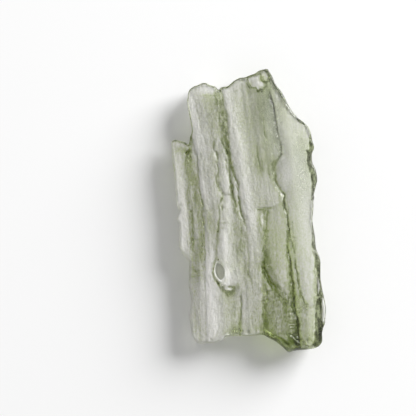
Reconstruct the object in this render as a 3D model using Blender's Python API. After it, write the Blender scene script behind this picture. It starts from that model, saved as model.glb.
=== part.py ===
"""A moldavite: one fluted, slab-like fragment of pale green natural glass, lying on its thicker underside.

X runs across the fragment, Y up its length, Z up. The origin is on the surface it lies on, under the middle of its box.
"""
import math

import bmesh
import bpy
import numpy as np
from mathutils.geometry import delaunay_2d_cdt

UNIT = 0.00015                    # metres on the stone for one unit of the plan drawing
MM = 0.001
GRID_ACROSS, GRID_ALONG = 3.5, 7.0        # spacing of the facets, plan units
EDGE_STEPS = 2                            # facets between two points of the outline
CREST_SPAN = 0.42                         # how far the worn crests still rise above CREST, mm
PLAN_X, PLAN_Y = 248.5, 210.6     # middle of the plan drawing

# Outline of the stone seen from above, x to the right, y down the drawing.
OUTLINE = [
    # broken top end of the left rib
    (171.7, 143.0), (173.2, 140.2), (177.0, 140.0), (181.0, 141.2), (185.0, 142.3), (188.3, 144.6),
    # notch, then the left edge of the tall rib
    (189.6, 141.5), (190.2, 137.0), (191.9, 132.0), (191.6, 127.0), (190.6, 121.5), (189.6, 115.0),
    (188.4, 108.5), (187.3, 101.0), (188.1, 96.2), (188.9, 91.5), (190.6, 89.0),
    # top of the tall rib
    (194.2, 86.6), (198.0, 85.2), (201.5, 83.6), (206.0, 83.1), (209.2, 85.0), (213.0, 86.0), (215.8, 87.2),
    (217.6, 89.3), (219.2, 89.7), (220.6, 88.0), (223.6, 86.9), (228.2, 86.1),
    # rising top edge
    (231.2, 83.6), (234.8, 80.6), (239.5, 78.2), (245.0, 77.6), (250.0, 75.5), (255.0, 73.6), (259.0, 71.0),
    (263.0, 69.8), (267.0, 69.2), (268.8, 71.6),
    # long broken shoulder on the right
    (271.0, 75.0), (273.0, 79.0), (274.8, 83.6), (277.4, 87.4), (280.2, 90.6), (282.8, 95.2), (285.0, 99.0),
    (287.2, 104.0), (289.8, 108.0), (292.0, 112.0), (295.0, 115.3), (298.0, 118.6), (301.2, 120.7),
    (304.0, 123.2), (307.0, 126.0), (309.4, 130.0), (310.8, 135.0),
    # right edge, with its scallops
    (312.1, 141.0), (313.8, 147.5), (312.9, 150.6), (311.7, 153.4), (311.5, 158.0), (312.1, 163.0),
    (314.0, 167.0), (315.5, 171.0), (316.6, 176.0), (316.8, 181.0), (315.6, 185.5), (314.6, 190.0),
    (313.3, 195.0), (313.9, 198.0), (312.9, 201.5), (313.0, 207.0), (312.6, 213.0), (312.0, 219.0),
    (312.6, 225.0), (313.6, 231.0), (314.6, 237.0), (315.0, 243.0), (315.9, 249.0), (317.9, 254.0),
    (319.8, 260.0), (320.1, 268.0), (320.0, 276.0), (320.7, 282.0), (321.6, 288.0), (323.0, 294.0),
    (324.1, 299.0), (325.1, 305.0), (325.4, 312.0), (325.0, 318.0), (324.4, 323.5), (322.6, 328.0),
    (321.7, 334.0), (322.0, 340.0), (320.9, 343.2), (318.4, 346.0),
    # foot of the thick right part
    (314.0, 348.0), (309.0, 348.9), (303.0, 349.6), (297.0, 350.1), (292.0, 351.1), (289.0, 352.0),
    (286.4, 350.5), (283.4, 347.5), (279.2, 344.0), (275.4, 341.0), (270.6, 338.6), (267.0, 336.5),
    (264.0, 334.9),
    # thin foot of the middle
    (260.0, 334.4), (254.5, 335.3), (247.0, 335.6), (240.0, 335.6), (232.0, 335.9), (225.4, 336.5),
    (223.2, 339.0), (219.0, 341.0), (213.0, 342.5), (207.0, 342.7), (201.2, 343.8), (197.2, 342.6),
    # left foot and the left edge up to the rib
    (194.4, 339.4), (192.6, 336.0), (191.8, 331.5), (190.8, 327.0), (190.2, 321.0), (189.6, 317.2),
    (190.1, 312.5), (191.0, 306.0), (191.3, 300.0), (190.8, 295.0), (189.7, 290.0), (189.0, 285.5),
    (189.2, 279.5), (189.2, 273.0), (189.4, 266.0), (189.6, 261.8),
    (186.6, 257.6), (183.2, 253.6), (180.9, 250.0), (179.5, 246.0), (179.5, 240.0), (179.9, 234.0),
    (179.4, 228.0), (179.2, 223.0), (177.3, 219.6), (178.2, 215.2), (179.6, 211.0), (178.9, 208.0),
    (177.4, 205.0), (177.0, 200.0), (176.3, 194.0), (175.4, 188.0), (175.6, 182.0), (174.9, 176.0),
    (173.9, 170.0), (173.0, 163.0), (172.7, 157.0), (172.1, 150.0),
]
# The pierced hole at the end of the channel.
HOLE = [(217.6, 261.9), (219.8, 262.6), (222.0, 264.6), (224.0, 267.2), (224.9, 270.6), (224.9, 274.2),
        (223.6, 277.6), (221.0, 280.2), (218.8, 278.8), (216.6, 276.0), (215.2, 272.4), (214.9, 268.6),
        (215.7, 264.6)]

def smooth(a, b, x):
    t = np.clip((x - a) / (b - a), 0.0, 1.0)
    return t * t * (3 - 2 * t)

def lattice(ix, iy, seed):
    h = (ix * 374761393 + iy * 668265263 + seed * 1013904223) & 0xFFFFFFFF
    h = ((h ^ (h >> 13)) * 1274126177) & 0xFFFFFFFF
    h = h ^ (h >> 16)
    return h / 2147483647.5 - 1.0

def noise(x, y, seed):
    ix, iy = np.floor(x).astype(np.int64), np.floor(y).astype(np.int64)
    fx, fy = x - ix, y - iy
    u, v = fx * fx * fx * (fx * (fx * 6 - 15) + 10), fy * fy * fy * (fy * (fy * 6 - 15) + 10)
    a, b = lattice(ix, iy, seed), lattice(ix + 1, iy, seed)
    c, d = lattice(ix, iy + 1, seed), lattice(ix + 1, iy + 1, seed)
    return (a * (1 - u) + b * u) * (1 - v) + (c * (1 - u) + d * u) * v

def fbm(x, y, seed, octaves=3, gain=0.5):
    total, amp, norm = 0.0, 1.0, 0.0
    for k in range(octaves):
        total = total + amp * noise(x * 2.03 ** k, y * 2.03 ** k, seed + 17 * k)
        norm += amp
        amp *= gain
    return total / norm

def spline(points, steps, closed=False):
    """Catmull-Rom curve through rows of numbers."""
    p = np.array(points, float)
    n = len(p)
    if steps == 1:
        return p
    rows = []
    for i in range(n if closed else n - 1):
        if closed:
            a, b, c, d = p[(i - 1) % n], p[i], p[(i + 1) % n], p[(i + 2) % n]
        else:
            a, b, c, d = p[max(i - 1, 0)], p[i], p[i + 1], p[min(i + 2, n - 1)]
        for k in range(steps):
            t = k / steps
            rows.append(0.5 * (2 * b + (c - a) * t + (2 * a - 5 * b + 4 * c - d) * t * t
                               + (3 * b - a - 3 * c + d) * t ** 3))
    if not closed:
        rows.append(p[-1])
    return np.array(rows)

def to_curve(x, y, curve, chunk=20000):
    """Distance to a closed curve and the place along it, in plan units."""
    a = curve[:, :2]
    b = np.roll(a, -1, 0)
    e = b - a
    ll = np.maximum((e * e).sum(1), 1e-12)
    length = np.sqrt(ll)
    start = np.concatenate([[0], np.cumsum(length)])
    dist, place = np.empty(len(x)), np.empty(len(x))
    for s in range(0, len(x), chunk):
        px, py = x[s:s + chunk, None] - a[None, :, 0], y[s:s + chunk, None] - a[None, :, 1]
        t = np.clip((px * e[:, 0] + py * e[:, 1]) / ll, 0, 1)
        qx, qy = px - t * e[:, 0], py - t * e[:, 1]
        dd = qx * qx + qy * qy
        k = dd.argmin(1)
        r = np.arange(len(k))
        dist[s:s + chunk] = np.sqrt(dd[r, k])
        place[s:s + chunk] = start[k] + t[r, k] * length[k]
    return dist, place

class Track:
    """A line that runs down the stone (down=True) or across it, with the values it carries."""
    def __init__(self, rows, down=True):
        p = spline(rows, 6)
        key = p[:, 1] if down else p[:, 0]
        p = p[np.argsort(key, kind="stable")]
        self.down = down
        self.key = p[:, 1] if down else p[:, 0]
        self.off = p[:, 0] if down else p[:, 1]
        self.slope = np.gradient(self.off, np.maximum.accumulate(self.key + np.arange(len(p)) * 1e-6))
        self.values = p[:, 2:]

    def read(self, x, y):
        """Distance across the line (positive to its right, or below it), distance past its ends, values."""
        k, o = (y, x) if self.down else (x, y)
        d = (o - np.interp(k, self.key, self.off)) / np.sqrt(1 + np.interp(k, self.key, self.slope) ** 2)
        over = np.maximum(np.maximum(self.key[0] - k, k - self.key[-1]), 0)
        return d, over, [np.interp(k, self.key, self.values[:, j]) for j in range(self.values.shape[1])]

def flow_shift(y):
    """How far the grain of the stone has moved to the right at height y of the drawing."""
    y = np.asarray(y, float)
    t = np.clip((y - 190) / 90.0, 0, 1)
    # slope 0.155 above, 0.055 below, blended
    base = 0.155 * (np.minimum(y, 190) - 210)
    mid = 90.0 * (0.155 * t - 0.10 * (t ** 3 - 0.5 * t ** 4))
    low = 0.055 * np.maximum(y - 280, 0)
    return base + mid + low

# Grooves and ridges: rows of x, y, height change in mm, reach to the left, reach to the right.
LINES = {
    # groove between the left rib and the tall rib
    "groove_a": ("v", [(190.5, 136, .3, 2, 1.2), (193.6, 146, .30, 5, 1.3), (195.6, 155, .34, 6, 1.3), (197.6, 166, .34, 7, 1.3),
                       (198.8, 177, .32, 8, 1.3), (199.8, 186, .30, 8, 1.3), (201.4, 196, .3, 9, 1.3), (202.7, 205, .28, 9, 1.3),
                       (203.6, 215, .45, 8, 1.3), (204.2, 225, .36, 7, 1.3), (205.2, 235, .3, 6, 1.4), (205.6, 247, .2, 5, 1.2),
                       (205.4, 262, .08, 5, 1.0), (205.4, 290, .03, 3, .9), (206.0, 312, .02, 3, .8), (206.4, 341, .02, 3, .8)]),
    # main groove, down from the notch in the top edge
    "groove_b": ("v", [(219.8, 87, .2, 2.0, 1.4), (222.2, 96, .16, 2.0, 1.2), (224.6, 105, .18, 2.0, 1.2), (226.8, 116, .24, 2.0, 1.2),
                       (228.2, 126, .3, 2.4, 1.2), (229.0, 136, .26, 3, 1.4), (229.6, 146, .28, 3, 1.6), (230.6, 156, .28, 3, 1.6),
                       (232.6, 166, .3, 3, 1.5), (235.0, 176, .3, 3, 1.5), (237.8, 184, .3, 3, 1.5), (238.6, 192, .3, 3, 1.6),
                       (239.4, 200, .5, 3, 1.6), (240.9, 209, .5, 3, 2), (243.6, 218, .4, 3, 2), (245.6, 228, .35, 4, 3),
                       (247.4, 242, .25, 5, 3), (248.6, 256, .3, 4, 2.6), (248.2, 268, .3, 4, 2.4), (250.4, 280, .2, 4, 2.6), (253.6, 294, .1, 4, 3)]),
    "groove_b2": ("v", [(227.0, 150, .0, 2, 2), (228.6, 158, .45, 2, 1.6), (229.0, 166, .5, 2, 1.6), (229.4, 174, .45, 2, 1.5), (231.2, 181, .5, 2, 1.5),
                        (232.2, 188, .5, 2.2, 1.6), (233.6, 194, .3, 2.2, 1.8), (235.6, 202, .0, 2, 2)]),
    # right groove, wandering round the bulge
    "groove_g": ("v", [(267.6, 88, .1, 2, 2), (269.2, 95, .3, 2.4, 2.4), (271.6, 101, .4, 2.6, 2.4), (274.0, 107, .45, 2.6, 2.6), (275.6, 114, .45, 2.6, 2.6),
                       (276.2, 122, .45, 2.6, 2.4), (277.0, 129, .45, 2.6, 2.2), (279.0, 136, .45, 2.4, 2.2), (280.6, 143, .45, 2.4, 2.2),
                       (281.7, 150, .5, 2.4, 2.6), (281.6, 155, .5, 2.4, 2.6), (278.8, 158.8, .45, 2.4, 3), (276.2, 162.4, .5, 2.4, 3),
                       (275.2, 168, .5, 2.4, 3), (275.2, 174, .5, 2.4, 3), (276.0, 180, .55, 2.4, 2.6), (278.2, 186, .55, 2.4, 2.2), (281.4, 191, .5, 2.4, 2.2),
                       (284.4, 195, .4, 2.4, 2.4), (285.2, 200, .5, 2.4, 3), (285.4, 206, .55, 2.4, 3.4), (287.0, 213, .6, 2.4, 3.2),
                       (288.4, 219, .6, 2.4, 3), (288.6, 226, .6, 2.4, 3), (289.0, 234, .6, 2.4, 3), (289.0, 243, .6, 2.4, 3), (289.2, 252, .65, 2.6, 3),
                       (291.0, 260, .62, 3, 3.4), (291.4, 268, .64, 3.4, 3.6), (292.0, 276, .66, 3.6, 4), (293.2, 286, .68, 3.8, 4.4),
                       (294.0, 296, .68, 3.8, 4.4), (295.0, 305, .66, 3.6, 4.2), (296.8, 313, .62, 3.4, 4), (297.6, 322, .60, 3.4, 4), (298.6, 331, .58, 3.4, 3.6),
                       (299.6, 340, .6, 3, 3), (300.4, 350, .5, 3, 3)]),
    "groove_g2": ("v", [(291.6, 215, .0, 2, 2), (293.0, 228, .15, 2, 2), (294.6, 243, .22, 2, 2), (296.2, 254, .26, 2, 1.6), (297.0, 262, .3, 2, 1.4),
                        (298.2, 270, .36, 2, 1.2), (299.2, 279, .4, 2, 1.2), (300.4, 287, .34, 2, 1.4), (301.2, 294, .34, 2, 1.4), (303.6, 301, .3, 2, 1.4),
                        (307.6, 307, .2, 2.6, 1.6), (311, 308, .0, 2, 2)]),
    # left wall of the channel and round the end of it
    "channel_c0": ("v", [(212.6, 142, .0, 1.6, 1.6), (213.6, 149, .16, 2, 1.2), (216.2, 154, .2, 2, 1.2), (217.8, 160, .14, 2, 1.2), (217.0, 166, .16, 2, 1.2), (218.6, 173, .12, 2, 1.2),
                         (218.6, 180, .14, 3, 1.6), (220.0, 186, .2, 4, 1.6), (221.8, 191, .26, 4, 1.4), (223.6, 195, .2, 3, 1.4)]),
    "line_d": ("v", [(240.6, 288, .0, 3, 2), (240.6, 295, .2, 3, 1.6), (240.4, 304, .4, 3, 1.4), (240.6, 313, .4, 3, 1.4), (240.0, 323, .4, 3.4, 1.4), (240.2, 331, .35, 3.4, 1.4), (240.4, 337, .25, 3, 1.4)]),
    # feathered diagonal break in the lower right
    "break_h": ("v", [(263.6, 252, .1, 1.4, 2.6), (264.6, 258, .15, 1.4, 2.6), (264.8, 264, .14, 1.6, 3), (266.2, 270, .14, 1.6, 3), (268.2, 276, .14, 1.6, 2.6),
                      (270.2, 281, .14, 1.4, 2.4), (273.2, 286, .14, 1.4, 2.6), (277.6, 291, .16, 2.4, 3.6), (281.6, 296, .12, 3, 4), (284.2, 302, .08, 3, 4), (288, 308, .0, 2, 3)]),
    "break_h2": ("v", [(262.4, 262, .0, 1, 1), (263.6, 269, .1, 1, 1), (265.2, 276, .12, 1, 1), (267.4, 282, .1, 1, 1), (270.6, 287, .08, 1, 1), (274.6, 291, .0, 1, 1)]),
    # bubble tracks in the hollow between the ribs
    "track_1": ("v", [(263.4, 116, .0, .7, .9), (263.8, 122, .10, .7, .9), (264.2, 130, .12, .7, .9), (264.8, 135, .14, .7, .9), (265.4, 139, .0, .7, .9)]),
    "track_2": ("v", [(266.4, 130, .0, .7, .9), (266.8, 137, .08, .7, .9), (267.0, 144, .06, .7, .9), (267.2, 150, .0, .7, .9)]),
    "track_3": ("v", [(261.4, 157, .0, .7, .9), (261.6, 162, .14, .7, .9), (261.8, 167, .14, .7, .9), (262.4, 172, .0, .7, .9)]),
    "track_4": ("v", [(267.6, 163, .0, .7, .9), (267.8, 169, .10, .7, .9), (268.6, 174, .12, .7, .9), (269.2, 179, .0, .7, .9)]),
    "track_5": ("v", [(257.0, 146, .0, 1.2, 1.2), (257.4, 154, .07, 1.2, 1.2), (258.6, 163, .08, 1.2, 1.2), (260.0, 171, .07, 1.2, 1.2), (262, 177, .0, 1.2, 1.2)]),
    # left part of the tall rib: one faint flute
    "flute_1": ("v", [(194.6, 93, .0, 2, 1.2), (195.4, 101, .10, 2, 1.2), (197.2, 110, .16, 2.4, 1.2), (199.2, 119, .14, 2.4, 1.2), (200.4, 129, .12, 2.4, 1.2), (201.2, 137, .0, 2, 1.2)]),
    # right edge: inner line of the double lower edge
    "edge_line": ("v", [(312.6, 250, .0, 1, 1), (314.2, 255, .2, 1, 1), (315.6, 262, .1, 1.2, 1), (316.2, 272, .1, 1.2, 1), (316.4, 281, .3, 1.2, .8), (316.8, 290, .35, 1.2, .8),
                        (317.8, 297, .35, 1.2, .8), (319.2, 303, .25, 1.2, .8), (320.2, 309, .0, 1, 1)]),
}

# Steps: the ground is this much lower on the right of the line, fading out after a while.
STEPS = {
    "step_f": (True, 1, [(256.5, 207, .0, 1.6, 30), (259.4, 213, .08, 1.6, 30), (261.8, 222, .14, 1.6, 30), (262.8, 235, .14, 2.2, 30), (262.8, 250, .16, 2.2, 30), (262.2, 266, .18, 2.4, 30),
                (262.8, 282, .2, 2.6, 32), (262.7, 300, .22, 2.6, 34), (262.4, 318, .24, 2.6, 34), (262.0, 334, .26, 2.6, 34)]),
    "patch_foot": (False, 1, [(284.0, 202.5, .0, .8, 12), (277.0, 205.4, .10, .8, 12), (270.0, 207.3, .2, .7, 12), (264.0, 209.0, .28, .6, 12), (258.5, 209.4, .28, .6, 12), (255, 209.6, .0, .8, 12)]),
    "rib_end": (False, 1, [(317.4, 299.5, .3, .6, 14), (314.6, 303.6, .4, .6, 14), (311.0, 306.0, .3, 1.2, 14), (306.6, 307.6, .3, 1.6, 14), (302.0, 303.0, .2, 1.6, 12), (299.4, 298.0, .0, 1.2, 12)]),
    "tube_head": (False, 1, [(235.0, 194.2, .0, .6, 9), (231.0, 194.0, .12, .6, 9), (227.0, 194.2, .18, .6, 9), (223.4, 195.2, .2, .6, 9), (221.6, 197.6, .0, .8, 9)]),
    "lobe_chip": (False, -1, [(218.0, 95.4, .0, .7, 9), (213.0, 95.6, .05, .9, 9), (208.0, 95.0, .06, .9, 9), (203.4, 95.2, .04, .9, 9), (200, 94.2, .0, .8, 9)]),
}

# Round scoops and bubbles: x, y, radius, depth in mm.
SCOOPS = [
    (242.6, 80.8, 2.4, .10),
    (283.6, 194.6, 3.6, .16), (223.0, 208.6, 1.3, .08), (191.4, 212.2, 1.2, .10),
    (267.2, 292.4, 1.8, .12), (268.0, 299.8, 2.0, .14), (250.6, 209.8, 1.2, .10), (297.2, 312.6, 2.2, .04),
    (292.4, 325.2, 3.4, .12), (293.6, 331.4, 3.6, .14), 
    (309.0, 341.2, 3.2, .14), (304.6, 345.0, 2.8, .14), (313.2, 343.6, 2.6, .14), (297.4, 119.4, 2.8, .10), (302.6, 123.2, 2.4, .10),
    (291.4, 115.2, 2.6, .08), (286.6, 109.2, 2.4, .08), (283.0, 96.6, 2.6, .10), (267.6, 271.6, 2.2, .12), (263.4, 212.6, 2.2, .14), (268.0, 212.4, 2.0, .16),
    (248.0, 333.0, 2.2, .16), (241.6, 331.2, 1.8, .18), (229.4, 333.6, 1.8, .14), (211.4, 340.6, 1.8, .14), (180.4, 205.6, 2.0, .12),
]

# Short lines, specks and flecks: depth in mm, greenness, then rows of x, y, half width.
STROKES = [
    # the broad rough groove under the notch, and its strands
    (.10, .30, [(225.0, 122, 1.0), (225.6, 130, 1.3), (226.8, 135.6, 1.0)]),
    (.06, .42, [(225.0, 137, 1.3), (227.0, 143, 1.9), (228.6, 147.5, 1.2)]),
    (.05, .44, [(227.2, 149, 1.4), (227.4, 158, 1.8), (228.0, 168, 1.7), (229.4, 176, 1.1), (231.4, 182, 1.2), (232.0, 188, 1.4), (232.8, 193, 1.2), (234.4, 198, 1.0), (236.0, 206, .9)]),
    (.07, .48, [(229.4, 155, .7), (230.6, 162, 1.1), (231.8, 168, 1.3), (233.4, 174, 1.4), (235.4, 179, 1.3), (237.8, 184, .9)]),
    (.06, .35, [(235.4, 184, .5), (237.0, 188, .5), (238.6, 191, .5)]), (.06, .3, [(234.2, 187, .5), (235.2, 190.4, .4)]), (.05, .2, [(235.0, 171, .4), (236.6, 178, .5)]),
    (.08, .46, [(238.4, 195, .7), (239.2, 202, 1.1), (240.4, 208, 1.1), (241.8, 214, 1.0), (243.0, 219, .9), (244.6, 226, .5)]), (.04, .3, [(243.4, 211.6, .8), (245.6, 216, .8), (246.4, 219, .6)]),
    (0, .20, [(231.6, 182, 2.2), (233.4, 192, 2.4), (235.0, 204, 2.2), (236.8, 215, 2.2)]), (.03, .24, [(237.8, 212, 1.0), (240.4, 222, 1.4), (241.6, 230, 1.2)]),
    (0, -.22, [(230.6, 124, .6), (230.8, 134, .6)]), (0, -.25, [(231.4, 154, .5), (231.6, 157, .6)]), (0, -.2, [(236.4, 184, .4), (237.8, 187, .4)]),
    # the small loop and line left of it, down to the head of the channel
    (.05, .22, [(214.0, 141, .8), (213.4, 150, .8)]), (.05, .28, [(216.0, 152, .5), (217.9, 155.4, .9), (217.4, 159.4, .6)]), (0, -.3, [(214.8, 154, .6), (215.2, 158, .6)]),
    (.05, .24, [(215.4, 162, .4), (217.4, 168, .7), (217.6, 173, .7), (216.2, 178, .8), (217.6, 184, 1.1), (219.6, 190, 1.3), (221.6, 194.6, 1.3), (221.8, 199, 1.0)]),
    (.05, .22, [(222.6, 193.8, .6), (227, 193.6, .6), (230.6, 194.4, .5)]),
    # left side of the channel and round the hole
    (.07, .36, [(221.6, 193, .8), (221.4, 198, 1.4), (220.6, 201.6, 1.1)]), (.05, .30, [(219.8, 202, .7), (219.0, 210, .9), (219.2, 219, .8)]), (.05, .36, [(221.8, 206, .5), (222.2, 210.6, .9)]),
    (.05, .36, [(219.4, 219.6, .6), (218.0, 224, 1.3), (217.4, 231, 1.4)]), (.05, .28, [(217.2, 231, 1.2), (216.8, 242, 1.7), (216.8, 252, 1.7), (216.2, 259, 1.3)]),
    (.08, .36, [(215.0, 261, 1.1), (213.6, 266, .9), (212.5, 272, .8), (213.4, 277, 1.0), (215.6, 281, 1.3), (218.6, 284.6, 1.6)]),
    (.05, .7, [(218.0, 260.0, 1.0)]), (.04, .3, [(222.0, 260.4, .5)]), (0, -.2, [(211.6, 252, 1.4), (210.6, 262, 1.6), (210.0, 274, 1.4)]),
    # the curved lip below the bowl, with its bright fleck
    (.02, .38, [(217.4, 283.0, 1.6), (220.8, 287.2, 2.8), (225.0, 290.4, 3.4), (229.6, 292.6, 3.8), (233.0, 291.2, 3.0), (235.8, 287.6, 2.4), (237.8, 283.6, 1.3)]),
    (.05, .34, [(229.6, 286.4, .9), (234.0, 286.6, 1.3)]), (.04, .3, [(223.6, 287.0, 1.1)]), (-.05, -.75, [(226.4, 288.4, .6), (229.0, 288.8, .8), (231.6, 289.5, .5)]),
    (0, -.2, [(226.6, 283.4, 1.2), (229.4, 283.8, 1.2)]), (.04, .22, [(229.4, 291.4, 1.2)]), (0, .25, [(228, 295.6, 1.6)]),
    (.03, .2, [(235.2, 270.6, .9)]), (.05, .3, [(221.3, 227.6, .8)]), (.03, .2, [(219.6, 222.6, .5), (224, 223.0, .5), (228, 222.6, .5)]),
    # the diagonal break low on the right, in strands
    (.03, .24, [(263.2, 246, .6), (263.6, 252, 1.0), (264.8, 258, 1.4), (264.8, 264, 1.4)]), (.04, .44, [(261.8, 266.6, 1.4), (263.6, 268.2, 1.4)]),
    (.05, .54, [(265.4, 267.8, .9), (266.9, 271.4, .8), (268.2, 275, 1.1), (269.6, 278.4, .8), (271.4, 281.2, .9), (273.8, 283.6, .7), (276.4, 287, .6)]),
    (.0, .08, [(265.6, 254, 3.4), (265, 262, 4.6), (267.4, 270, 4.6), (271, 280, 4.4), (277, 288, 3.6), (283, 299, 3.0), (286, 312, 3.0)]),
    (.0, .15, [(264.6, 272, 1.2), (264.8, 286, 2.0), (264.8, 310, 2.6), (265.6, 330, 2.4)]), (.0, .08, [(288.6, 300, 2.4), (289.6, 316, 2.6), (288.6, 334, 2.6)]),
    (.05, .46, [(264.0, 262, .9), (264.8, 268.4, .9), (265.4, 272, .8), (265.4, 276, .7), (266.6, 279.4, 1.0), (267.8, 281.8, 1.2), (269.6, 284, .9), (271.6, 286.4, .9), (272.8, 289, .7)]),
    (.04, .45, [(262.2, 269, .8), (263.4, 276, 1.0), (264.4, 280, .8)]), (.03, .22, [(269.8, 276, .6), (273.2, 280.4, .9), (276.8, 283.8, .8), (278.8, 287.8, .9)]),
    (.04, .3, [(269.6, 266.4, .7), (271.8, 267.2, .8)]), (.02, .12, [(275.4, 274.4, .5), (279.6, 276.8, .6)]), (.0, .10, [(266.8, 252, 2.6), (268.6, 262, 3.0)]),
    (.06, .24, [(266.9, 292.4, 1.6)]), (.06, .2, [(267.8, 299, 1.8)]), (.02, .16, [(276.0, 288.6, 2.0), (278.2, 293.4, 2.8), (281.0, 299, 3.4), (284.6, 305, 3.4), (286.2, 312, 3.0)]),
    (-.03, -.22, [(281.4, 292.4, .6)]), (-.03, -.22, [(284.4, 292.0, .6)]), (-.03, -.26, [(284.8, 295.8, .7)]), (.05, .26, [(283.2, 292.6, .6)]), (.05, .3, [(285.3, 294.3, .7)]), (.05, .26, [(288.6, 297.6, .8)]), (.05, .26, [(280.6, 289.6, .7)]),
    # right groove, wide and deep in its lower half
    (.06, .44, [(287.2, 246, 1.0), (288.2, 254, 1.5), (289.9, 259.6, 1.8), (290.4, 265, 1.7), (290.6, 271, 1.8), (291.2, 276, 2.2), (292.2, 281, 2.8), (293.2, 287, 3.3), (293.8, 293, 3.4), (294.2, 300, 3.4), (294.8, 306, 3.1), (295.6, 311, 2.4)]),
    (.08, .42, [(292.8, 308.6, .8), (294.6, 312.8, .9), (295.9, 317, .9), (295.5, 321, .8), (296.8, 325, .9)]),
    (.04, .32, [(297.2, 318, 2.8), (298.0, 326, 3.0), (298.4, 334, 2.4), (299.9, 339, 1.6), (300.5, 344, 1.8), (300.6, 348, 1.4)]), (0, .14, [(295.6, 296, 2.4), (297.0, 306, 2.6), (299.0, 318, 2.8), (299.6, 326, 2.2)]),
    (.10, .52, [(295.4, 258, .6), (296.4, 266.6, .9), (297.4, 272, .8), (297.2, 276, .6), (297.7, 280, .9), (298.6, 284.4, .9), (298.6, 289, .6)]),
    (.05, .48, [(299.8, 290, .6), (301.0, 296, 1.1), (303.0, 300.4, 1.3), (306.0, 303.4, 1.5), (307.8, 305.2, 1.1)]), (0, .20, [(304.6, 305.6, 2.4), (306.4, 310, 1.8)]), (0, -.2, [(299.4, 300, .6), (300.8, 306, .7)]),
    # rings and arcs of a burst bubble
    (.04, .24, [(288.8, 312.6, .5), (291.6, 311.2, .5), (294.4, 312.8, .5)]), (.04, .2, [(289.4, 316.0, .5), (292.0, 315.0, .4), (294.6, 316.4, .4)]), (.04, .22, [(288.0, 321.4, .6), (291, 322.6, .5), (295, 321.6, .5)]),
    (-.03, -.28, [(288.6, 323.6, .5), (292, 324.4, .5), (295.8, 323.4, .5)]), (.05, .34, [(288.8, 325.0, .5), (292, 325.6, .5), (295.8, 325.2, .5)]), (-.03, -.28, [(290.4, 326.5, .4), (293.4, 326.6, .4)]), (.05, .3, [(290.4, 327.6, .5), (294.8, 327.7, .5)]),
    (.08, .4, [(291.2, 333.6, .7), (294.6, 337.2, .9), (297.9, 340, .7)]), (0, -.14, [(291.6, 330.0, 2.0), (294.6, 333.4, 1.6)]),
    # dark mottles along the foot
    (.04, .34, [(276.6, 336.4, 1.5), (281.6, 339.6, 1.7), (287.0, 342.8, 2.0), (292.0, 341.4, 1.8), (296.8, 343.6, 1.6)]), (.04, .3, [(295.4, 343.8, 1.3)]), (-.04, -.4, [(292.8, 346.2, 1.2)]), (.0, .24, [(265.6, 331.0, 1.6), (270.8, 334.0, 1.8), (274.0, 336.0, 1.6)]),
    (0, .42, [(265, 333, 1.6), (272, 337, 2.6), (280, 341.6, 3.6), (287, 346.4, 4.2), (294, 347, 3.6), (300, 347, 2.4)]), (.04, .3, [(277, 338, .8), (283, 339.6, 1.0), (288, 344, 1.2)]), (0, .26, [(290.4, 338, 2.6), (296, 341, 2.6)]), (.06, .45, [(302.2, 349, .9), (306.8, 348.4, .8)]), (.06, .36, [(305.8, 345.0, .6), (310.2, 346.2, 1.0), (314.0, 344.6, .9), (316.2, 342.8, .8)]), (.05, .32, [(308.4, 338.6, .9), (311.4, 340.8, .8), (314.2, 342.4, .6)]),
    (.02, .14, [(306.0, 328, .5), (308.0, 333, .5), (309.4, 338, .5)]), (.05, .2, [(302.6, 341, 1.4), (304.6, 345, 1.4)]),
    # broken end of the right rib
    (.05, .5, [(314.2, 302.2, .7), (316.8, 300.2, .7)]), (-.03, -.4, [(314.2, 303.8, .5), (316.6, 302.4, .5)]),
    # lines down the hollow between the ribs
    (.03, .18, [(256.2, 146, .7), (257.4, 156, .9), (258.6, 166, 1.0)]), (.04, .3, [(263.6, 120, .4), (264.4, 130, .5), (265.0, 136, .5)]),
    # fine double line down the lower left
    (0, -.30, [(203.4, 212, .5), (205.4, 240, .5), (206.4, 262, .5), (206.8, 300, .5), (207.2, 336, .5)]), (.02, .26, [(202.2, 212, .6), (204.2, 240, .6), (205.2, 262, .5), (205.6, 300, .5), (206.0, 336, .5)]),
    (.02, .20, [(191, 266.4, .6), (198, 266.0, .7), (204, 266.6, .5)]), (.02, .22, [(190.6, 270.6, .6), (197, 271.2, .7), (203, 270.4, .5)]), (.02, .2, [(190.8, 276.4, .7), (199, 276.0, .6), (204.6, 276.8, .5)]), (.01, .16, [(191, 282.0, .6), (198, 282.6, .6)]),
    (.01, .14, [(194.6, 290, .5), (195.4, 312, .6), (196.4, 332, .5)]), (.01, .14, [(199.6, 290, .5), (200.0, 312, .6), (200.6, 336, .5)]), (.02, .16, [(192.4, 208, .6), (192.8, 226, .7), (193.4, 250, .6)]), (.02, .16, [(197.4, 212, .6), (198.6, 232, .7), (199.6, 256, .6)]),
    # on the side faces
    (.02, .30, [(307.2, 151, .9), (307.2, 157, .8), (308.4, 166, .7)]), (0, -.16, [(314.6, 173, .9), (314.4, 180, .9)]), (.02, .2, [(313.0, 186, .8), (312.4, 196, .7)]),
    (.04, .42, [(312.2, 251, .5), (314.0, 254, .9), (314.4, 258, .9), (314.8, 263, .5)]), (.04, .46, [(314.6, 266, .6), (315.2, 276, .8), (315.4, 283, 1.0), (315.9, 289, 1.1), (316.0, 294, 1.1), (315.6, 299, 1.2)]),
    (0, -.30, [(317.8, 271.4, .5), (318.2, 274, .4)]), (0, -.30, [(317.4, 281, .6), (318.2, 288, .6), (318.4, 293, .5)]), (0, -.30, [(318.6, 310, .5), (318.0, 316, .5)]),
    # broken head of the lower right hollow
    (.05, .42, [(257.6, 209.8, .8), (262.2, 209.4, .8), (265.6, 208.6, .8), (270, 207.4, .5), (276, 205.4, .4)]), (.04, .36, [(263.2, 209.2, .9), (265.2, 211, 1.0)]),
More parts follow.
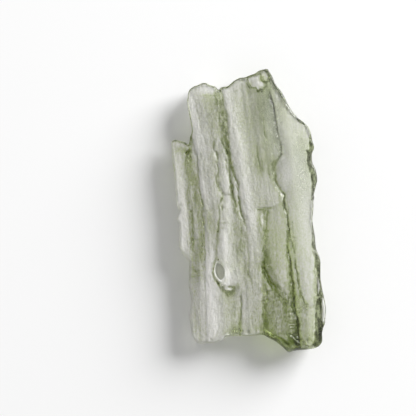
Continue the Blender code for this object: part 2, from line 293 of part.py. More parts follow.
    (.05, .38, [(268.2, 210, .8), (267.8, 214.8, 1.2)]), (.05, .52, [(266.9, 214, .6), (266.6, 222, .8), (266.4, 229, .7)]), (.03, .28, [(262.2, 212, 1.0), (263.6, 216, 1.1), (264.8, 220, .9)]),
    (.03, .32, [(258.4, 217, .5), (259.4, 222, .6), (260.8, 226, .6)]), (.04, .36, [(263, 225, .6), (263.6, 230, 1.0), (268, 230.4, .8)]), (0, .24, [(265.2, 231, 3.0), (265.0, 240, 3.8), (265.8, 252, 3.4), (266.4, 262, 3.4)]),
    (0, -.30, [(266.5, 209.6, .5)]), (0, -.24, [(264.2, 215, .5), (265.2, 218, .4)]), (0, -.24, [(261.2, 215.4, .6), (262.0, 224, .5)]), (.03, .22, [(267.8, 236.2, .8)]),
    # fracture beside the right groove
    (.03, .34, [(279.0, 190.8, .6), (282.0, 191.4, .7), (283.8, 193.6, .9)]), (-.01, -.22, [(281.2, 193.4, .9), (283.2, 196.2, 1.0)]), (.03, .26, [(279.2, 195.6, .9)]),
    (0, -.16, [(285.4, 186.0, .8)]), (0, -.2, [(286.4, 189.0, .8)]), (0, -.16, [(287.6, 184.6, .9)]),
    (.06, .36, [(276.2, 176, 1.2), (277.0, 184, 1.2), (279.4, 188.4, 1.1)]), (.07, .38, [(285.6, 194.6, 1.3), (284.5, 200, 1.3), (284.3, 205, 1.5), (285.0, 210, 1.4), (286.5, 215, 1.4), (287.6, 219, .9), (287.5, 222, .8)]),
    (.04, .28, [(288.0, 205, .7), (288.4, 213, 1.0)]), (.06, .36, [(289.6, 223, 1.1), (289.4, 229, 1.4), (290.4, 234, 1.0), (291.4, 239, 1.0), (293.2, 245, 1.1), (294.4, 252, .8)]),
    (.05, .38, [(287.2, 229.6, .7), (287.6, 236, .9), (287.6, 243, 1.0), (287.4, 247, .9)]),
    # notch and band on the left
    (.08, .75, [(186.8, 153.4, 1.2), (188.6, 150.8, 1.5), (189.9, 148.4, 1.0)]), (.03, .36, [(191.0, 137, 1.2), (191.4, 146, 1.1)]), (.02, .24, [(191.4, 156, 1.0), (190.6, 160, 1.0)]),
    (.03, .22, [(194.0, 146, .5), (195.5, 154, .6), (196.7, 161, .5), (197.7, 168, .6), (198.7, 175, .5), (199.6, 184, .5), (201.0, 194, .5), (202.4, 204, .5)]), (0, -.26, [(196.8, 152, .5), (198.4, 163, .4), (200.6, 180, .5), (202.4, 195, .6)]),
    (.02, .16, [(200.2, 184, .5), (201.0, 196, .7), (202.0, 205, .7)]), (-.02, -.30, [(190.8, 184, .5), (191.8, 196, .6), (192.6, 203, .5)]), (.02, .16, [(187.7, 186, .6), (187.6, 215, .6)]),
    (0, .12, [(196.6, 192, 2.0), (198, 212, 2.2)]), (.04, .34, [(191.2, 212.4, 1.0)]), (.02, .30, [(173.7, 164, .7), (174.4, 172, .8)]), (0, -.2, [(177.6, 198, .8), (178.8, 208, .9), (179.6, 214, .7)]),
    (.02, .34, [(172.6, 142, 1.0), (175.4, 141.2, 1.1)]), (.01, .18, [(177, 142, .8), (185.6, 143.8, .8)]), (0, .14, [(178, 149, 4.0), (184, 151, 3.0)]),
    # pale seam below the band, shade beside the main groove, rim of the hole
    (0, -.24, [(205.6, 212, .6), (206.4, 232, .7), (206.6, 262, .6), (206.6, 300, .6), (207.0, 338, .6)]), (0, .14, [(231.4, 160, 2.0), (234.2, 174, 2.4), (237.6, 188, 2.0)]),
    (0, .34, [(212.4, 263, 1.0), (212.8, 269, 1.3), (214.0, 275, 1.4), (216.6, 280, 1.4), (219.6, 283, 1.2)]),
    # softer shades
    (0, .16, [(301.0, 304, 1.6), (301.6, 312, 1.6)]), (0, .14, [(237.4, 204, 1.6), (238.4, 212, 1.6)]), (0, .16, [(229.8, 176, 1.6), (231.0, 186, 1.8), (231.6, 198, 1.8)]),
    (.03, .20, [(269.6, 90, .8), (271.2, 101, 1.0), (273.6, 110, 1.1), (275.6, 120, 1.1), (276.6, 131, 1.0), (277.6, 141, .9)]), (.03, .3, [(266.2, 73.4, .7)]), (.03, .3, [(263.6, 72.6, .5)]), (.02, .2, [(262.4, 76.2, .6), (264.6, 77.0, .5)]), (.03, .25, [(266.4, 78.0, .6)]),
    (0, .30, [(215.8, 93, 2.0), (216.8, 104, 2.0)]), (0, .34, [(222.6, 143, 1.4), (224.8, 149, 1.6), (226.2, 154, 1.2)]), (0, .22, [(230.4, 182, 1.8), (231.4, 190, 2.2), (232.2, 200, 2.2), (234, 212, 2.2)]),
    (0, .18, [(298.6, 296, 1.8), (300, 306, 2.2), (300.6, 316, 2.0)]), (0, .3, [(314.4, 298, 1.4), (314.6, 304, 1.4)]), (0, .18, [(257.6, 212, 1.6), (258.4, 222, 2.0), (259.4, 232, 1.6)]),
    (0, .26, [(313.8, 270, 1.0), (314.2, 280, 1.5), (314.4, 292, 1.6)]), (0, .24, [(313.2, 310, 1.4), (312.8, 326, 1.5), (312.4, 336, 1.5)]),
    (0, .16, [(313.2, 270, 1.4), (313.4, 290, 1.8), (313.4, 308, 1.6)]),
    # grain of the two flakes at the top
    (-.04, -.34, [(263.2, 72.4, .6)]), (-.04, -.4, [(265.4, 73.6, .6)]), (-.04, -.4, [(266.2, 75.8, .6)]), (-.03, -.3, [(264.2, 77.6, .7)]), (.05, .5, [(264.6, 71.2, .5), (266.6, 72.0, .5)]),
    (.05, .4, [(261.8, 76.8, .7), (263.4, 79.0, .7)]), (.04, .4, [(260.6, 80.6, .6), (262.4, 81.6, .6)]), (.03, .3, [(267.6, 73.8, .5), (268.0, 76.6, .5)]), (.05, .45, [(264.6, 81.8, .7), (267.4, 81.4, .8)]),
    (-.03, -.3, [(261.4, 83.6, 1.4)]), (-.03, -.3, [(257.4, 83.0, 1.0)]), (-.03, -.34, [(257.2, 89.4, 1.0)]), (.03, .3, [(257.6, 86.6, .5), (259.4, 86.2, .4)]), (.02, .2, [(250.2, 80.6, .8), (250.8, 84.6, .9)]),
    (.04, .55, [(256.2, 91.0, .6), (257.6, 92.2, .7), (258.8, 90.8, .5)]), (.04, .55, [(260.6, 89.8, .5), (262.0, 91.0, .7)]), (-.02, -.2, [(252.6, 76.6, 1.2)]), (.02, .2, [(257.8, 76.0, .5), (258.0, 79.6, .5)]),
    # cap of the tall rib
    (.02, .12, [(202.6, 94.4, .5), (209, 95.4, .6), (217.4, 95.0, .7)]), (0, -.16, [(200.0, 90.4, 2.4), (213.0, 90.8, 2.4)]), (0, .18, [(217.6, 90.6, 1.0), (218.6, 96, 1.0)]),
    # dark second rim beside the top chip
    (.04, .5, [(245.8, 83.6, .5), (248.6, 88.2, .6)]), (0, -.3, [(247.2, 84.2, .4), (249.6, 88.0, .4)]), (.03, .2, [(250.6, 79, .6), (251.4, 83, .6)]), (0, -.2, [(256.4, 85.4, 1.6), (262.0, 84.6, 1.8)]),
    (-.03, -.5, [(265.5, 73.8, .5), (265.9, 76.4, .6)]), (0, -.3, [(266.6, 83.6, .5)]), (.04, .35, [(270.4, 80.6, .6)]),
]
# Flakes with a crisp outline: depth in mm, greenness inside, greenness of the rim, then the outline.
CHIPS = [
    (.08, -.16, .58, [(248.0, 77.6), (247.4, 81.0), (249.3, 85.2), (251.6, 88.2), (255.2, 88.4), (257.4, 91.8), (259.0, 90.6), (260.3, 89.2), (261.7, 90.9), (263.2, 89.4),
                      (265.0, 86.4), (265.3, 83.4), (262.4, 81.0), (260.0, 77.6), (259.4, 73.6), (254.0, 75.4)]),
    # green band between the left rib and the tall rib
    (.00, .15, .0, [(186.6, 152), (190.2, 147), (192.4, 147), (194.4, 155), (196.4, 168), (198.2, 180), (200.2, 195), (201.6, 208), (203.0, 225), (203.4, 245), (203.2, 261),
                    (196, 263), (190.6, 260), (188.4, 250), (187.6, 232), (187.4, 215), (187.0, 195), (186.0, 180), (185.0, 170), (184.0, 160)]),
    # dark side faces on the right
    (.06, .80, .0, [(309.0, 137), (308.8, 144), (308.4, 149.0), (305.8, 150.6), (305.6, 154), (306.3, 160), (307.2, 166), (308.8, 171.4), (310.4, 173.8), (310.4, 178), (311.2, 182),
                    (311.0, 187), (310.6, 192), (310.8, 198), (312.2, 202), (318, 203), (322, 190), (322, 160), (318, 140), (312, 134)]),
    (.06, .85, .0, [(311.2, 223), (311.2, 230), (311.4, 240), (311.8, 246), (313.2, 250), (314.8, 253), (315.0, 260), (315.2, 266), (316.0, 272), (317.2, 278), (318.2, 284),
                    (318.6, 290), (317.6, 294), (316.0, 296.4), (330, 296.6), (328, 280), (324, 250), (318, 224)]),
    (.06, .90, .0, [(316.2, 298.2), (315.6, 304), (315.4, 312), (314.8, 320), (314.6, 330), (314.2, 340), (312.6, 345), (322, 349), (327, 338), (325, 326), (322.2, 321), (321.4, 312), (321.4, 303), (321.6, 298.2)]),
    # dark green corner at the lower right
    (.00, .09, .14, [(262.8, 262), (262.5, 280), (262.4, 300), (262.0, 320), (260.8, 330), (266, 336), (276, 346), (288, 356), (301, 354), (300, 340), (297.6, 322), (293.6, 306), (291, 292), (286, 300), (278, 290), (270, 280)]),
    (.00, .34, .0, [(318.4, 321), (317.6, 332), (316.6, 343), (321, 348), (327, 338), (326, 324), (323.2, 320.4)]),
    (.06, .28, .0, [(218.6, 91), (221.8, 91), (223.0, 97), (224.4, 104), (226.2, 111), (227.8, 120), (228.8, 130), (229.6, 140), (230.2, 148), (230.4, 153), (228.6, 157),
                    (225.6, 155), (222.6, 147), (220.6, 139), (218.8, 130), (217.8, 118), (218.2, 105)]),
    (.00, .12, .0, [(266.8, 92), (269.6, 95), (273.4, 104), (275.8, 114), (276.8, 128), (280.2, 142), (281.4, 152), (279.0, 155.6), (276.0, 149), (273.2, 138),
                    (271.2, 126), (270.0, 114), (267.6, 102)]),
    (.00, .18, .0, [(276.0, 160), (275.0, 168), (275.0, 178), (277.6, 186), (281.6, 191.4), (279.4, 193), (274.6, 187), (271.6, 178), (271.0, 168), (272.8, 160)]),
    (.08, -.02, .34, [(260.2, 72.2), (260.3, 76.6), (262.7, 80.4), (265.8, 81.4), (268.0, 79.2), (268.5, 75.6), (267.0, 71.8), (264.0, 70.6)]),
]

# How thick the glass is, in mm: rows of x, y, half width, half height, change.
THICK_BASE = 2.45
CREST = 4.5
THICK = [
    (262, 122, 19, 50, 1.75), (268, 178, 14, 26, 0.4), (275, 236, 15, 34, 0.8), (279, 312, 22, 44, 2.0), (297, 318, 8, 34, 0.8),
    (232, 118, 9, 46, -0.5), (249, 214, 8, 60, -0.5), (208, 132, 9, 40, 0.35), (226, 240, 9, 36, -0.9), (213, 292, 7, 46, -0.9),
    (296, 165, 13, 46, -1.1), (303, 262, 9, 44, -0.9), (242, 306, 12, 26, 0.6), (198, 225, 9, 90, 1.1), (238, 240, 5, 26, 0.5), (192, 225, 9, 120, 0.50),
    (206, 318, 5, 30, -0.3), (230, 291, 7, 6, 0.5), (231, 275, 6, 8, -1.0),
]

# The edge all round: x, y, width of the top bevel, width of the bottom bevel, height of the rim, thickness at the rim (mm),
# then how wide the side face shows dark from above, and how dark.
EDGE = [
    (172.5, 150, 1.4, 6, 2.8, .30, 1, 0.0), (176, 140, 1.2, 2, 2.9, .7, 1.6, 0.5), (185, 142.3, 1.2, 2, 2.9, .8, 1.8, 0.5), (189.4, 143, 1.2, 2, 2.8, .9, 1.8, 0.8), (191.6, 131, 1.2, 2.5, 3.0, .7, 1.2, 0.7),
    (188.4, 108, 1.3, 3, 3.1, .5, 1.1, 0.8), (189, 91.5, 1.3, 3, 3.1, .5, 1.1, 0.8), (203, 83.4, 1.3, 3, 3.2, .6, 1.1, 0.8), (219.2, 89.7, 1.3, 3, 3.0, .7, 2.2, 0.8), (235, 80.5, 1.4, 4, 3.5, .7, 1.1, 0.6),
    (256, 73.2, 1.4, 4, 3.6, .7, 1.0, 0.5), (267, 69.2, 1.3, 4, 3.2, .6, 1.6, 0.9), (275, 84, 1.3, 4, 3.7, .6, 1.6, 0.9), (283.6, 97, 1.3, 4, 3.9, .6, 2.4, 0.9), (288.6, 106, 1.3, 4, 4.0, .5, 1.2, 0.35), (294, 114.4, 1.3, 4, 4.1, .5, 1.0, 0.3), (299.6, 120, 1.3, 4, 4.2, .5, 2.0, 1.0), (305, 124, 1.3, 4, 4.2, .6, 1.6, 0.7),
    (310.4, 136, 1.4, 4, 4.1, .7, 1.4, 0.7), (313.6, 147, 1.4, 3, 4.0, .9, 1.2, 0.3), (311.5, 158, 1.4, 3, 4.0, 1.0, 1.2, 0.3), (316.7, 178, 1.4, 3, 4.0, 1.0, 1.2, 0.3), (314, 195, 1.4, 4, 4.1, .6, 1.2, 0.3), (312.6, 213, 1.3, 5, 4.2, .45, 1.2, 0.75),
    (314.6, 238, 1.4, 3, 4.0, .8, 1.2, 0.3), (319.6, 260, 1.4, 3, 4.0, 1.0, 1.2, 0.3), (320, 275, 1.4, 3, 4.0, 1.0, 1.2, 0.3), (323, 294, 1.4, 3, 3.9, .8, 1.4, 0.5), (325.2, 310, 1.4, 3, 3.7, .6, 1.0, 0.8),
    (322.4, 329, 1.4, 3, 3.8, 1.0, 1.2, 0.3), (320.5, 344, 1.4, 3, 3.5, 1.1, 1.4, 0.4), (303, 349.6, 1.8, 3, 3.0, 1.0, 1.8, 0.8), (289, 352, 2.0, 3, 2.7, 1.0, 2.4, 0.7), (276, 341.4, 1.8, 4, 2.8, 1.0, 2.6, 0.7),
    (264, 335, 1.6, 7, 3.0, .35, 1.6, 0.3), (240, 335.6, 1.4, 8, 3.3, .25, 0.8, 0), (224, 338, 1.4, 8, 3.2, .25, 0.8, 0), (208, 342.7, 1.6, 6, 2.9, .35, 1.2, 0.0), (195, 340, 1.6, 6, 2.8, .3, 1.2, -0.1),
    (191, 306, 1.6, 6, 2.8, .3, 1.2, -0.2), (189.4, 268, 1.6, 6, 2.8, .3, 1.2, -0.15), (182, 252, 1.6, 6, 2.9, .3, 1.2, -0.2), (178, 205, 1.6, 6, 2.9, .3, 1.2, -0.15),
]

def stroke_fields(x, y):
    """Depth and greenness of the strokes at each point."""
    depth, green = np.zeros_like(x), np.zeros_like(x)
    for deep, amount, rows in STROKES:
        p = spline(rows, 3) if len(rows) > 2 else np.array(rows, float)
        reach = 2.6 * p[:, 2].max()
        m = (x > p[:, 0].min() - reach) & (x < p[:, 0].max() + reach) & (y > p[:, 1].min() - reach) & (y < p[:, 1].max() + reach)
        px, py = x[m], y[m]
        near = np.full(len(px), 9.0)
        for a, b in zip(p, p[1:] if len(p) > 1 else p):
            ex, ey = b[0] - a[0], b[1] - a[1]
            t = np.clip(((px - a[0]) * ex + (py - a[1]) * ey) / max(ex * ex + ey * ey, 1e-9), 0, 1)
            near = np.minimum(near, np.hypot(px - a[0] - t * ex, py - a[1] - t * ey) / (a[2] + t * (b[2] - a[2])))
        k = np.exp(-near * near)
        depth[m] += deep * k
        green[m] += amount * k
    return depth, green

def chip_fields(x, y):
    """Depth and greenness of the flakes at each point."""
    depth, green = np.zeros_like(x), np.zeros_like(x)
    for deep, amount, rim, rows in CHIPS:
        curve = spline(rows, 3, closed=True)
        m = (x > curve[:, 0].min() - 3) & (x < curve[:, 0].max() + 3) & (y > curve[:, 1].min() - 3) & (y < curve[:, 1].max() + 3)
        if not m.any():
            continue
        px, py = x[m], y[m]
        d, _ = to_curve(px, py, curve)
        d = np.where(inside(px, py, curve), d, -d)
        s = smooth(-0.4, 1.2, d)
        depth[m] += deep * s
        green[m] += amount * s * (1 + 0.35 * noise(px / 2.2, py / 4.5, 77)) + rim * np.exp(-((d + 0.2) / 0.8) ** 2)
    return depth, green

def rim_widths(curve):
    """Edge stations turned into values along the outline."""
    st = np.array(EDGE, float)
    _, place = to_curve(st[:, 0], st[:, 1], curve)
    order = np.argsort(place)
    total = np.sqrt(((np.roll(curve, -1, 0) - curve)[:, :2] ** 2).sum(1)).sum()
    return place[order], st[order, 2:], total

class Stone:
    def __init__(self, detail=1.0, step=4):
        self.detail = detail
        self.outline = spline(OUTLINE, step, closed=True)
        self.hole = spline(HOLE, step, closed=True)
        self.grooves = [Track(rows) for kind, rows in LINES.values()]
        self.steps = [(Track(rows, down), side) for down, side, rows in STEPS.values()]
        self.channel = Track([(227.5, 186), (227.5, 193), (227.0, 204), (226.5, 218), (225.6, 232), (225.4, 246), (225.8, 258), (227.0, 270), (228, 290)])
        self.edge_place, self.edge_rows, self.edge_total = rim_widths(self.outline)

    def warp(self, x, y):
        wx = 0.7 * noise(x / 9.0, y / 14.0, 5) + (0.5 * noise(x / 3.4, y / 5.0, 6) + 0.45 * noise(x / 1.7, y / 2.2, 8)) * self.detail
        wy = 1.0 * noise(x / 8.0, y / 11.0, 7) + 0.5 * noise(x / 1.9, y / 2.1, 9) * self.detail
        return x + wx, y + wy

    def macro(self, x, y):
        z = 4.1 + 0.75 * smooth(232, 305, x) - 0.70 * (1 - smooth(178, 214, x))
        z = z - 0.55 * ((y - 205) / 140.0) ** 2
        z = z + 0.10 * np.exp(-((x - 246) / 12.0) ** 2 - ((y - 150) / 90.0) ** 2)
        return z

    def relief(self, x, y):
        """Height of the carved top over the plain one, mm."""
        wx, wy = self.warp(x, y)
        h = np.zeros_like(x)
        near = np.zeros_like(x)
        for g in self.grooves:
            d, over, (amp, wl, wr) = g.read(wx, wy)
            amp = 0.72 * np.maximum(amp, 0) * np.exp(-(over / 3.0) ** 2)
            w = np.maximum(np.where(d < 0, wl, wr), .3)
            h -= amp * np.exp(-np.abs(d) / w)
            near = np.maximum(near, amp * np.exp(-np.abs(d) / 2.5))
        for c, side in self.steps:
            d, over, (amp, w, far) = c.read(wx, wy)
            d = d * side
            amp = np.maximum(amp, 0) * np.exp(-(over / 2.5) ** 2)
            s = 1 / (1 + np.exp(-np.clip(d / w, -12, 12) * 2.2))
            h -= amp * s * np.exp(-(np.maximum(d, 0) / far) ** 2)
        # the tube that runs down to the hole: a low round back
        d, _, _ = self.channel.read(wx, wy)
        h += 0.16 * smooth(191, 199, wy) * np.exp(-((d + 1.0) / 5.5) ** 2) * (1 - smooth(256, 268, wy))
        # the bowl round the hole
        r = np.sqrt(((wx - 226.0) / 13.0) ** 2 + ((wy - 274.0) / 12.0) ** 2)
        h -= 0.10 * (1 - smooth(0.35, 1.0, r)) * smooth(256, 272, wy)
        # dark lip under the bowl
        rr = np.sqrt(((wx - 229.0) / 10.0) ** 2 + ((wy - 282.0) / 11.0) ** 2)
        h -= 0.07 * np.exp(-((rr - 1.0) / 0.26) ** 2) * smooth(283, 288, wy) * (1 - smooth(236, 241, wx)) * smooth(217, 223, wx)
        # the channel's strokes and the flakes
        h -= self.detail * stroke_fields(wx, wy)[0] + chip_fields(wx, wy)[0]
        # small scoops with sharp rims
        for sx, sy, sr, sd in SCOOPS:
            q = ((wx - sx) ** 2 + (wy - sy) ** 2) / sr ** 2
            h -= np.where(q < 1, sd * (1 - q), 0)
        return h, near

    def grain(self, x, y):
        """Fine flutes that follow the flow of the glass."""
        u = x - flow_shift(y)
        g = 0.030 * noise(u / 3.6, y / 50.0, 21) + 0.014 * noise(u / 1.9, y / 26.0, 22) + 0.070 * noise(u / 7.5, y / 70.0, 23)
        return g * self.detail

    def streaks(self, x, y):
        u = x - flow_shift(y)
        left = smooth(186, 189, x) * (1 - smooth(204, 209, x)) * smooth(150, 170, y)
        mid = smooth(236, 242, x) * (1 - smooth(258, 263, x)) * smooth(255, 285, y)
        s = 0.15 + 0.5 * left + 0.5 * mid
        return s * (0.030 * noise(u / 1.5, y / 16.0, 31) + 0.018 * noise(u / 1.0, y / 8.0, 32)) * self.detail

    def thickness(self, x, y):
        t = THICK_BASE + 0 * x
        for cx, cy, sx, sy, a in THICK:
            u = x - flow_shift(y) + flow_shift(cy)
            t = t + a * np.exp(-0.5 * ((u - cx) / sx) ** 2 - 0.5 * ((y - cy) / sy) ** 2)
        # the pale left flank of the left rib is thin
        fin = 1 - smooth(185, 190, x - 0.02 * (y - 200))
        return t * (1 - fin) + 1.05 * fin

    def heights(self, x, y):
        h, near = self.relief(x, y)
        body = self.macro(x, y)
        rough = fbm(x / 2.6, y / 4.2, 41, 2) * (0.030 + 0.20 * near) + fbm(x / 1.2, y / 1.8, 43, 2) * (0.016 + 0.10 * near)
        top = body + h + self.grain(x, y) + self.streaks(x, y) + rough * self.detail
        # the crests are worn down above this height
        over = np.maximum(top - CREST, 0)
        top = np.minimum(top, CREST) + CREST_SPAN * (1 - np.exp(-over / CREST_SPAN))
        thick = self.thickness(x, y)
        u = x - flow_shift(y)
        under = 0.16 * noise(u / 11.0, y / 70.0, 51) + 0.07 * noise(u / 5.0, y / 45.0, 52) + 0.03 * fbm(u / 3.0, y / 9.0, 53, 3)
        bottom = body + 0.45 * h - thick + under
        bottom = np.minimum(bottom, top - 0.45)
        # bevels at the outline
        d, place = to_curve(x, y, self.outline)
        keys = np.concatenate([self.edge_place - self.edge_total, self.edge_place, self.edge_place + self.edge_total])
        wt, wb, mid, tall = [np.interp(place, keys, np.tile(self.edge_rows[:, k], 3)) for k in range(4)]
        wobble = 1 + 0.08 * noise(x / 4.0, y / 5.0, 61)
        ft = 1 - (1 - np.clip(d / (wt * wobble), 0, 1)) ** 1.15
        fb = 1 - (1 - np.clip(d / wb, 0, 1)) ** 1.8
        top = (mid + tall / 2) * (1 - ft) + top * ft
        bottom = (mid - tall / 2) * (1 - fb) + bottom * fb
        # round the hole the two faces meet in a thin rim
        dh, _ = to_curve(x, y, self.hole)
        gt, gb = 1 - (1 - np.clip(dh / 2.2, 0, 1)) ** 1.5, 1 - (1 - np.clip(dh / 7.0, 0, 1)) ** 1.5
        rim = 3.66
        lip = np.clip(top - 0.05, rim + .10, rim + .26)
        top = lip * (1 - gt) + top * gt
        bottom = (rim - .14) * (1 - gb) + bottom * gb
        bottom = np.maximum(np.minimum(bottom, top - 0.26), 0.0)
        top = np.maximum(top, bottom + 0.26)
        return top, bottom

def inside(x, y, curve):
    """Even-odd rule."""
    a, b = curve[:, :2], np.roll(curve[:, :2], -1, 0)
    res = np.zeros(len(x), bool)
    for (ax, ay), (bx, by) in zip(a, b):
        if ay == by:
            continue
        m = (ay > y) != (by > y)
        res ^= m & (x < (bx - ax) * (y - ay) / (by - ay) + ax)
    return res

def inset(curve, by):
    """A closed curve moved inwards by a small distance."""
    p = curve[:, :2]
    t = np.roll(p, -1, 0) - np.roll(p, 1, 0)
    n = np.stack([-t[:, 1], t[:, 0]], 1)
    n /= np.maximum(np.linalg.norm(n, axis=1, keepdims=True), 1e-9)
    test = p + n * 0.05
    if inside(test[:, 0], test[:, 1], p).mean() < 0.5:
        n = -n
    return p + n * by

def plan_points(stone, across, along, rings):
    """Points of the plan: the outline, the hole, rings inside the edges and rows that follow the flutes."""
    edge, hole = stone.outline[:, :2], stone.hole[:, :2]
    pts = [edge, hole]
    kept_x, kept_y = [], []
    for by in rings:
        for curve, sign in ((edge, 1), (hole, -1)):
            r = inset(curve, by * sign)
            d1, _ = to_curve(r[:, 0], r[:, 1], stone.outline)
            d2, _ = to_curve(r[:, 0], r[:, 1], stone.hole)
            ok = (np.minimum(d1, d2) > by * 0.85) & inside(r[:, 0], r[:, 1], edge) & ~inside(r[:, 0], r[:, 1], hole)
            pts.append(r[ok])
    rows = np.arange(68, 353, along)
    for j, y in enumerate(rows):
        u = np.arange(120, 380, across) + (across / 2 if j % 2 else 0)
        x = u + flow_shift(y)
        x = x[(x > 165) & (x < 330)]
        kept_x.append(x)
        kept_y.append(np.full(len(x), float(y)))
    x, y = np.concatenate(kept_x), np.concatenate(kept_y)
    m = inside(x, y, edge) & ~inside(x, y, hole)
    x, y = x[m], y[m]
    d1, _ = to_curve(x, y, stone.outline)
    d2, _ = to_curve(x, y, stone.hole)
    near = max(rings) + across * 0.45
    m = np.minimum(d1, d2) > near
    pts.append(np.stack([x[m], y[m]], 1))
    return np.concatenate(pts), len(edge), len(hole)

def plan_triangles(points, n_edge, n_hole):
    """Triangles that fill the plan between the outline and the hole."""
    edges = [(i, (i + 1) % n_edge) for i in range(n_edge)]
    edges += [(n_edge + i, n_edge + (i + 1) % n_hole) for i in range(n_hole)]
    verts, _, faces, _, _, _ = delaunay_2d_cdt([tuple(p) for p in points], edges, [], 0, 1e-6)
    verts = np.array([tuple(v) for v in verts])
    faces = np.array(faces)
    mid = verts[faces].mean(1)
    keep = inside(mid[:, 0], mid[:, 1], points[:n_edge]) & ~inside(mid[:, 0], mid[:, 1], points[n_edge:n_edge + n_hole])
    return verts, faces[keep]

def plan_middle(stone, bulge):
    """Middle of the plan's box, on the drawing."""
    rim = inset(stone.outline, -bulge)
    return (rim[:, 0].min() + rim[:, 0].max()) / 2, (rim[:, 1].min() + rim[:, 1].max()) / 2

def solid(name, stone, across, along, rings, bulge, courses=1, ripple=0.0):
    """The plan as one sheet, extruded to a slab, its two sides then carved to their heights."""
    points, n_edge, n_hole = plan_points(stone, across, along, rings)
    verts, faces = plan_triangles(points, n_edge, n_hole)
    top, bottom = stone.heights(verts[:, 0], verts[:, 1])
    bm = bmesh.new()
    sheet = [bm.verts.new((x, -y, 0.0)) for x, y in verts]
    bm.verts.ensure_lookup_table()
    for tri in faces:
        bm.faces.new([sheet[i] for i in tri])
    bmesh.ops.recalc_face_normals(bm, faces=bm.faces)
    bm.verts.index_update()
    count = len(bm.verts)
    grown = bmesh.ops.extrude_face_region(bm, geom=list(bm.faces))
    upper = [g for g in grown["geom"] if isinstance(g, bmesh.types.BMVert)]
    # each upper point takes the height of the one it grew from
    key = {(round(v.co.x, 5), round(v.co.y, 5)): i for i, v in enumerate(sheet)}
    walls = []
    for v in upper:
        i = key[(round(v.co.x, 5), round(v.co.y, 5))]
        v.co.z = top[i] / (UNIT / MM)
        for e in v.link_edges:
            if e.other_vert(v) is sheet[i]:
                walls.append(e)
    for i, v in enumerate(sheet):
        v.co.z = bottom[i] / (UNIT / MM)
    # the side faces swell a little between their two rims
    cut = bmesh.ops.subdivide_edges(bm, edges=walls, cuts=courses, use_grid_fill=True)
    middle = [g for g in cut["geom_inner"] if isinstance(g, bmesh.types.BMVert)]
    rims = []
    for curve, by in ((stone.outline[:, :2], -bulge), (stone.hole[:, :2], bulge)):
        rims.append((curve, inset(curve, by) - curve, stone.heights(curve[:, 0], curve[:, 1])))
    for v in middle:
        x, y = v.co.x, -v.co.y
        gaps = [((c - (x, y)) ** 2).sum(1) for c, _, _ in rims]
        curve, out, (high, low) = rims[int(gaps[1].min() < gaps[0].min())]
        i = min(gaps, key=lambda q: q.min()).argmin()
        up = v.co.z * UNIT / MM
        swell = math.sin(math.pi * min(max((up - low[i]) / (high[i] - low[i]), 0.0), 1.0))
        if ripple:
            h = np.array([v.co.z])
            swell *= 1 + ripple * float(0.6 * noise((x + h) / 4.2, (y - 0.7 * h) / 4.2, 81)[0] + 0.4 * noise((x - h) / 2.1, (y + h) / 2.1, 82)[0])
        v.co.x, v.co.y = curve[i, 0] + out[i, 0] * swell, -(curve[i, 1] + out[i, 1] * swell)
    bmesh.ops.triangulate(bm, faces=[f for f in bm.faces if len(f.verts) > 3])
    bmesh.ops.recalc_face_normals(bm, faces=bm.faces)
    cx, cy = plan_middle(stone, bulge)
    for v in bm.verts:
        v.co.x = (v.co.x - cx) * UNIT
        v.co.y = (v.co.y + cy) * UNIT
        v.co.z = v.co.z * UNIT
    mesh = bpy.data.meshes.new(name)
    bm.to_mesh(mesh)
    bm.free()
    return mesh

def glass():
    """Pale green tektite glass with an etched skin."""
    material = bpy.data.materials.new("moldavite_glass")
    material.use_nodes = True
    shader = next(n for n in material.node_tree.nodes if n.type == "BSDF_PRINCIPLED")
    shader.inputs["Base Color"].default_value = (0.42, 0.46, 0.33, 1)
    shader.inputs["Roughness"].default_value = 0.28
    shader.inputs["Metallic"].default_value = 0.0
    shader.inputs["IOR"].default_value = 1.49
    return material

for old in list(bpy.data.objects):
    bpy.data.objects.remove(old, do_unlink=True)

body_mesh = solid("moldavite", Stone(detail=0.5, step=EDGE_STEPS), GRID_ACROSS, GRID_ALONG, (1.5,), 0.5)
moldavite = bpy.data.objects.new("moldavite", body_mesh)
bpy.context.scene.collection.objects.link(moldavite)
moldavite.data.materials.append(glass())
body_mesh.shade_smooth()
body_mesh.set_sharp_from_angle(angle=math.radians(40))
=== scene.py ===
import math

import bmesh
import bpy
import numpy as np
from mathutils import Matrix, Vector
from mathutils.geometry import delaunay_2d_cdt


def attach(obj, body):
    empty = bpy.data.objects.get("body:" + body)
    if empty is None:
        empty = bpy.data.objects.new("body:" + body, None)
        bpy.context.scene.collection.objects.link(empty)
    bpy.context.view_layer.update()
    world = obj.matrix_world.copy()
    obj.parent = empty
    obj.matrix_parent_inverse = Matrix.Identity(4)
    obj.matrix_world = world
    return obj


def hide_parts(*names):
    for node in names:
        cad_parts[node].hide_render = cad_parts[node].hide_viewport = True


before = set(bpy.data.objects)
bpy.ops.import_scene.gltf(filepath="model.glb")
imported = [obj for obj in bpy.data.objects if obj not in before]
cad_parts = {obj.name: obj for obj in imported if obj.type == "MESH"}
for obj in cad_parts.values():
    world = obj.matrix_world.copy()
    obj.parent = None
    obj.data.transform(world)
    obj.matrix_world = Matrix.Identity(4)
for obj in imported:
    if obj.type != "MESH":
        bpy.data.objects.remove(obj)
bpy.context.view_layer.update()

UNIT = 0.00015                    # metres on the stone for one unit of the plan drawing
MM = 0.001
GRID_ACROSS, GRID_ALONG = 0.8, 1.25       # spacing of the fine surface, plan units
EDGE_STEPS = 5
CREST_SPAN = 0.30                         # how far the worn crests still rise above CREST, mm
PLAN_X, PLAN_Y = 248.5, 210.6     # middle of the plan drawing

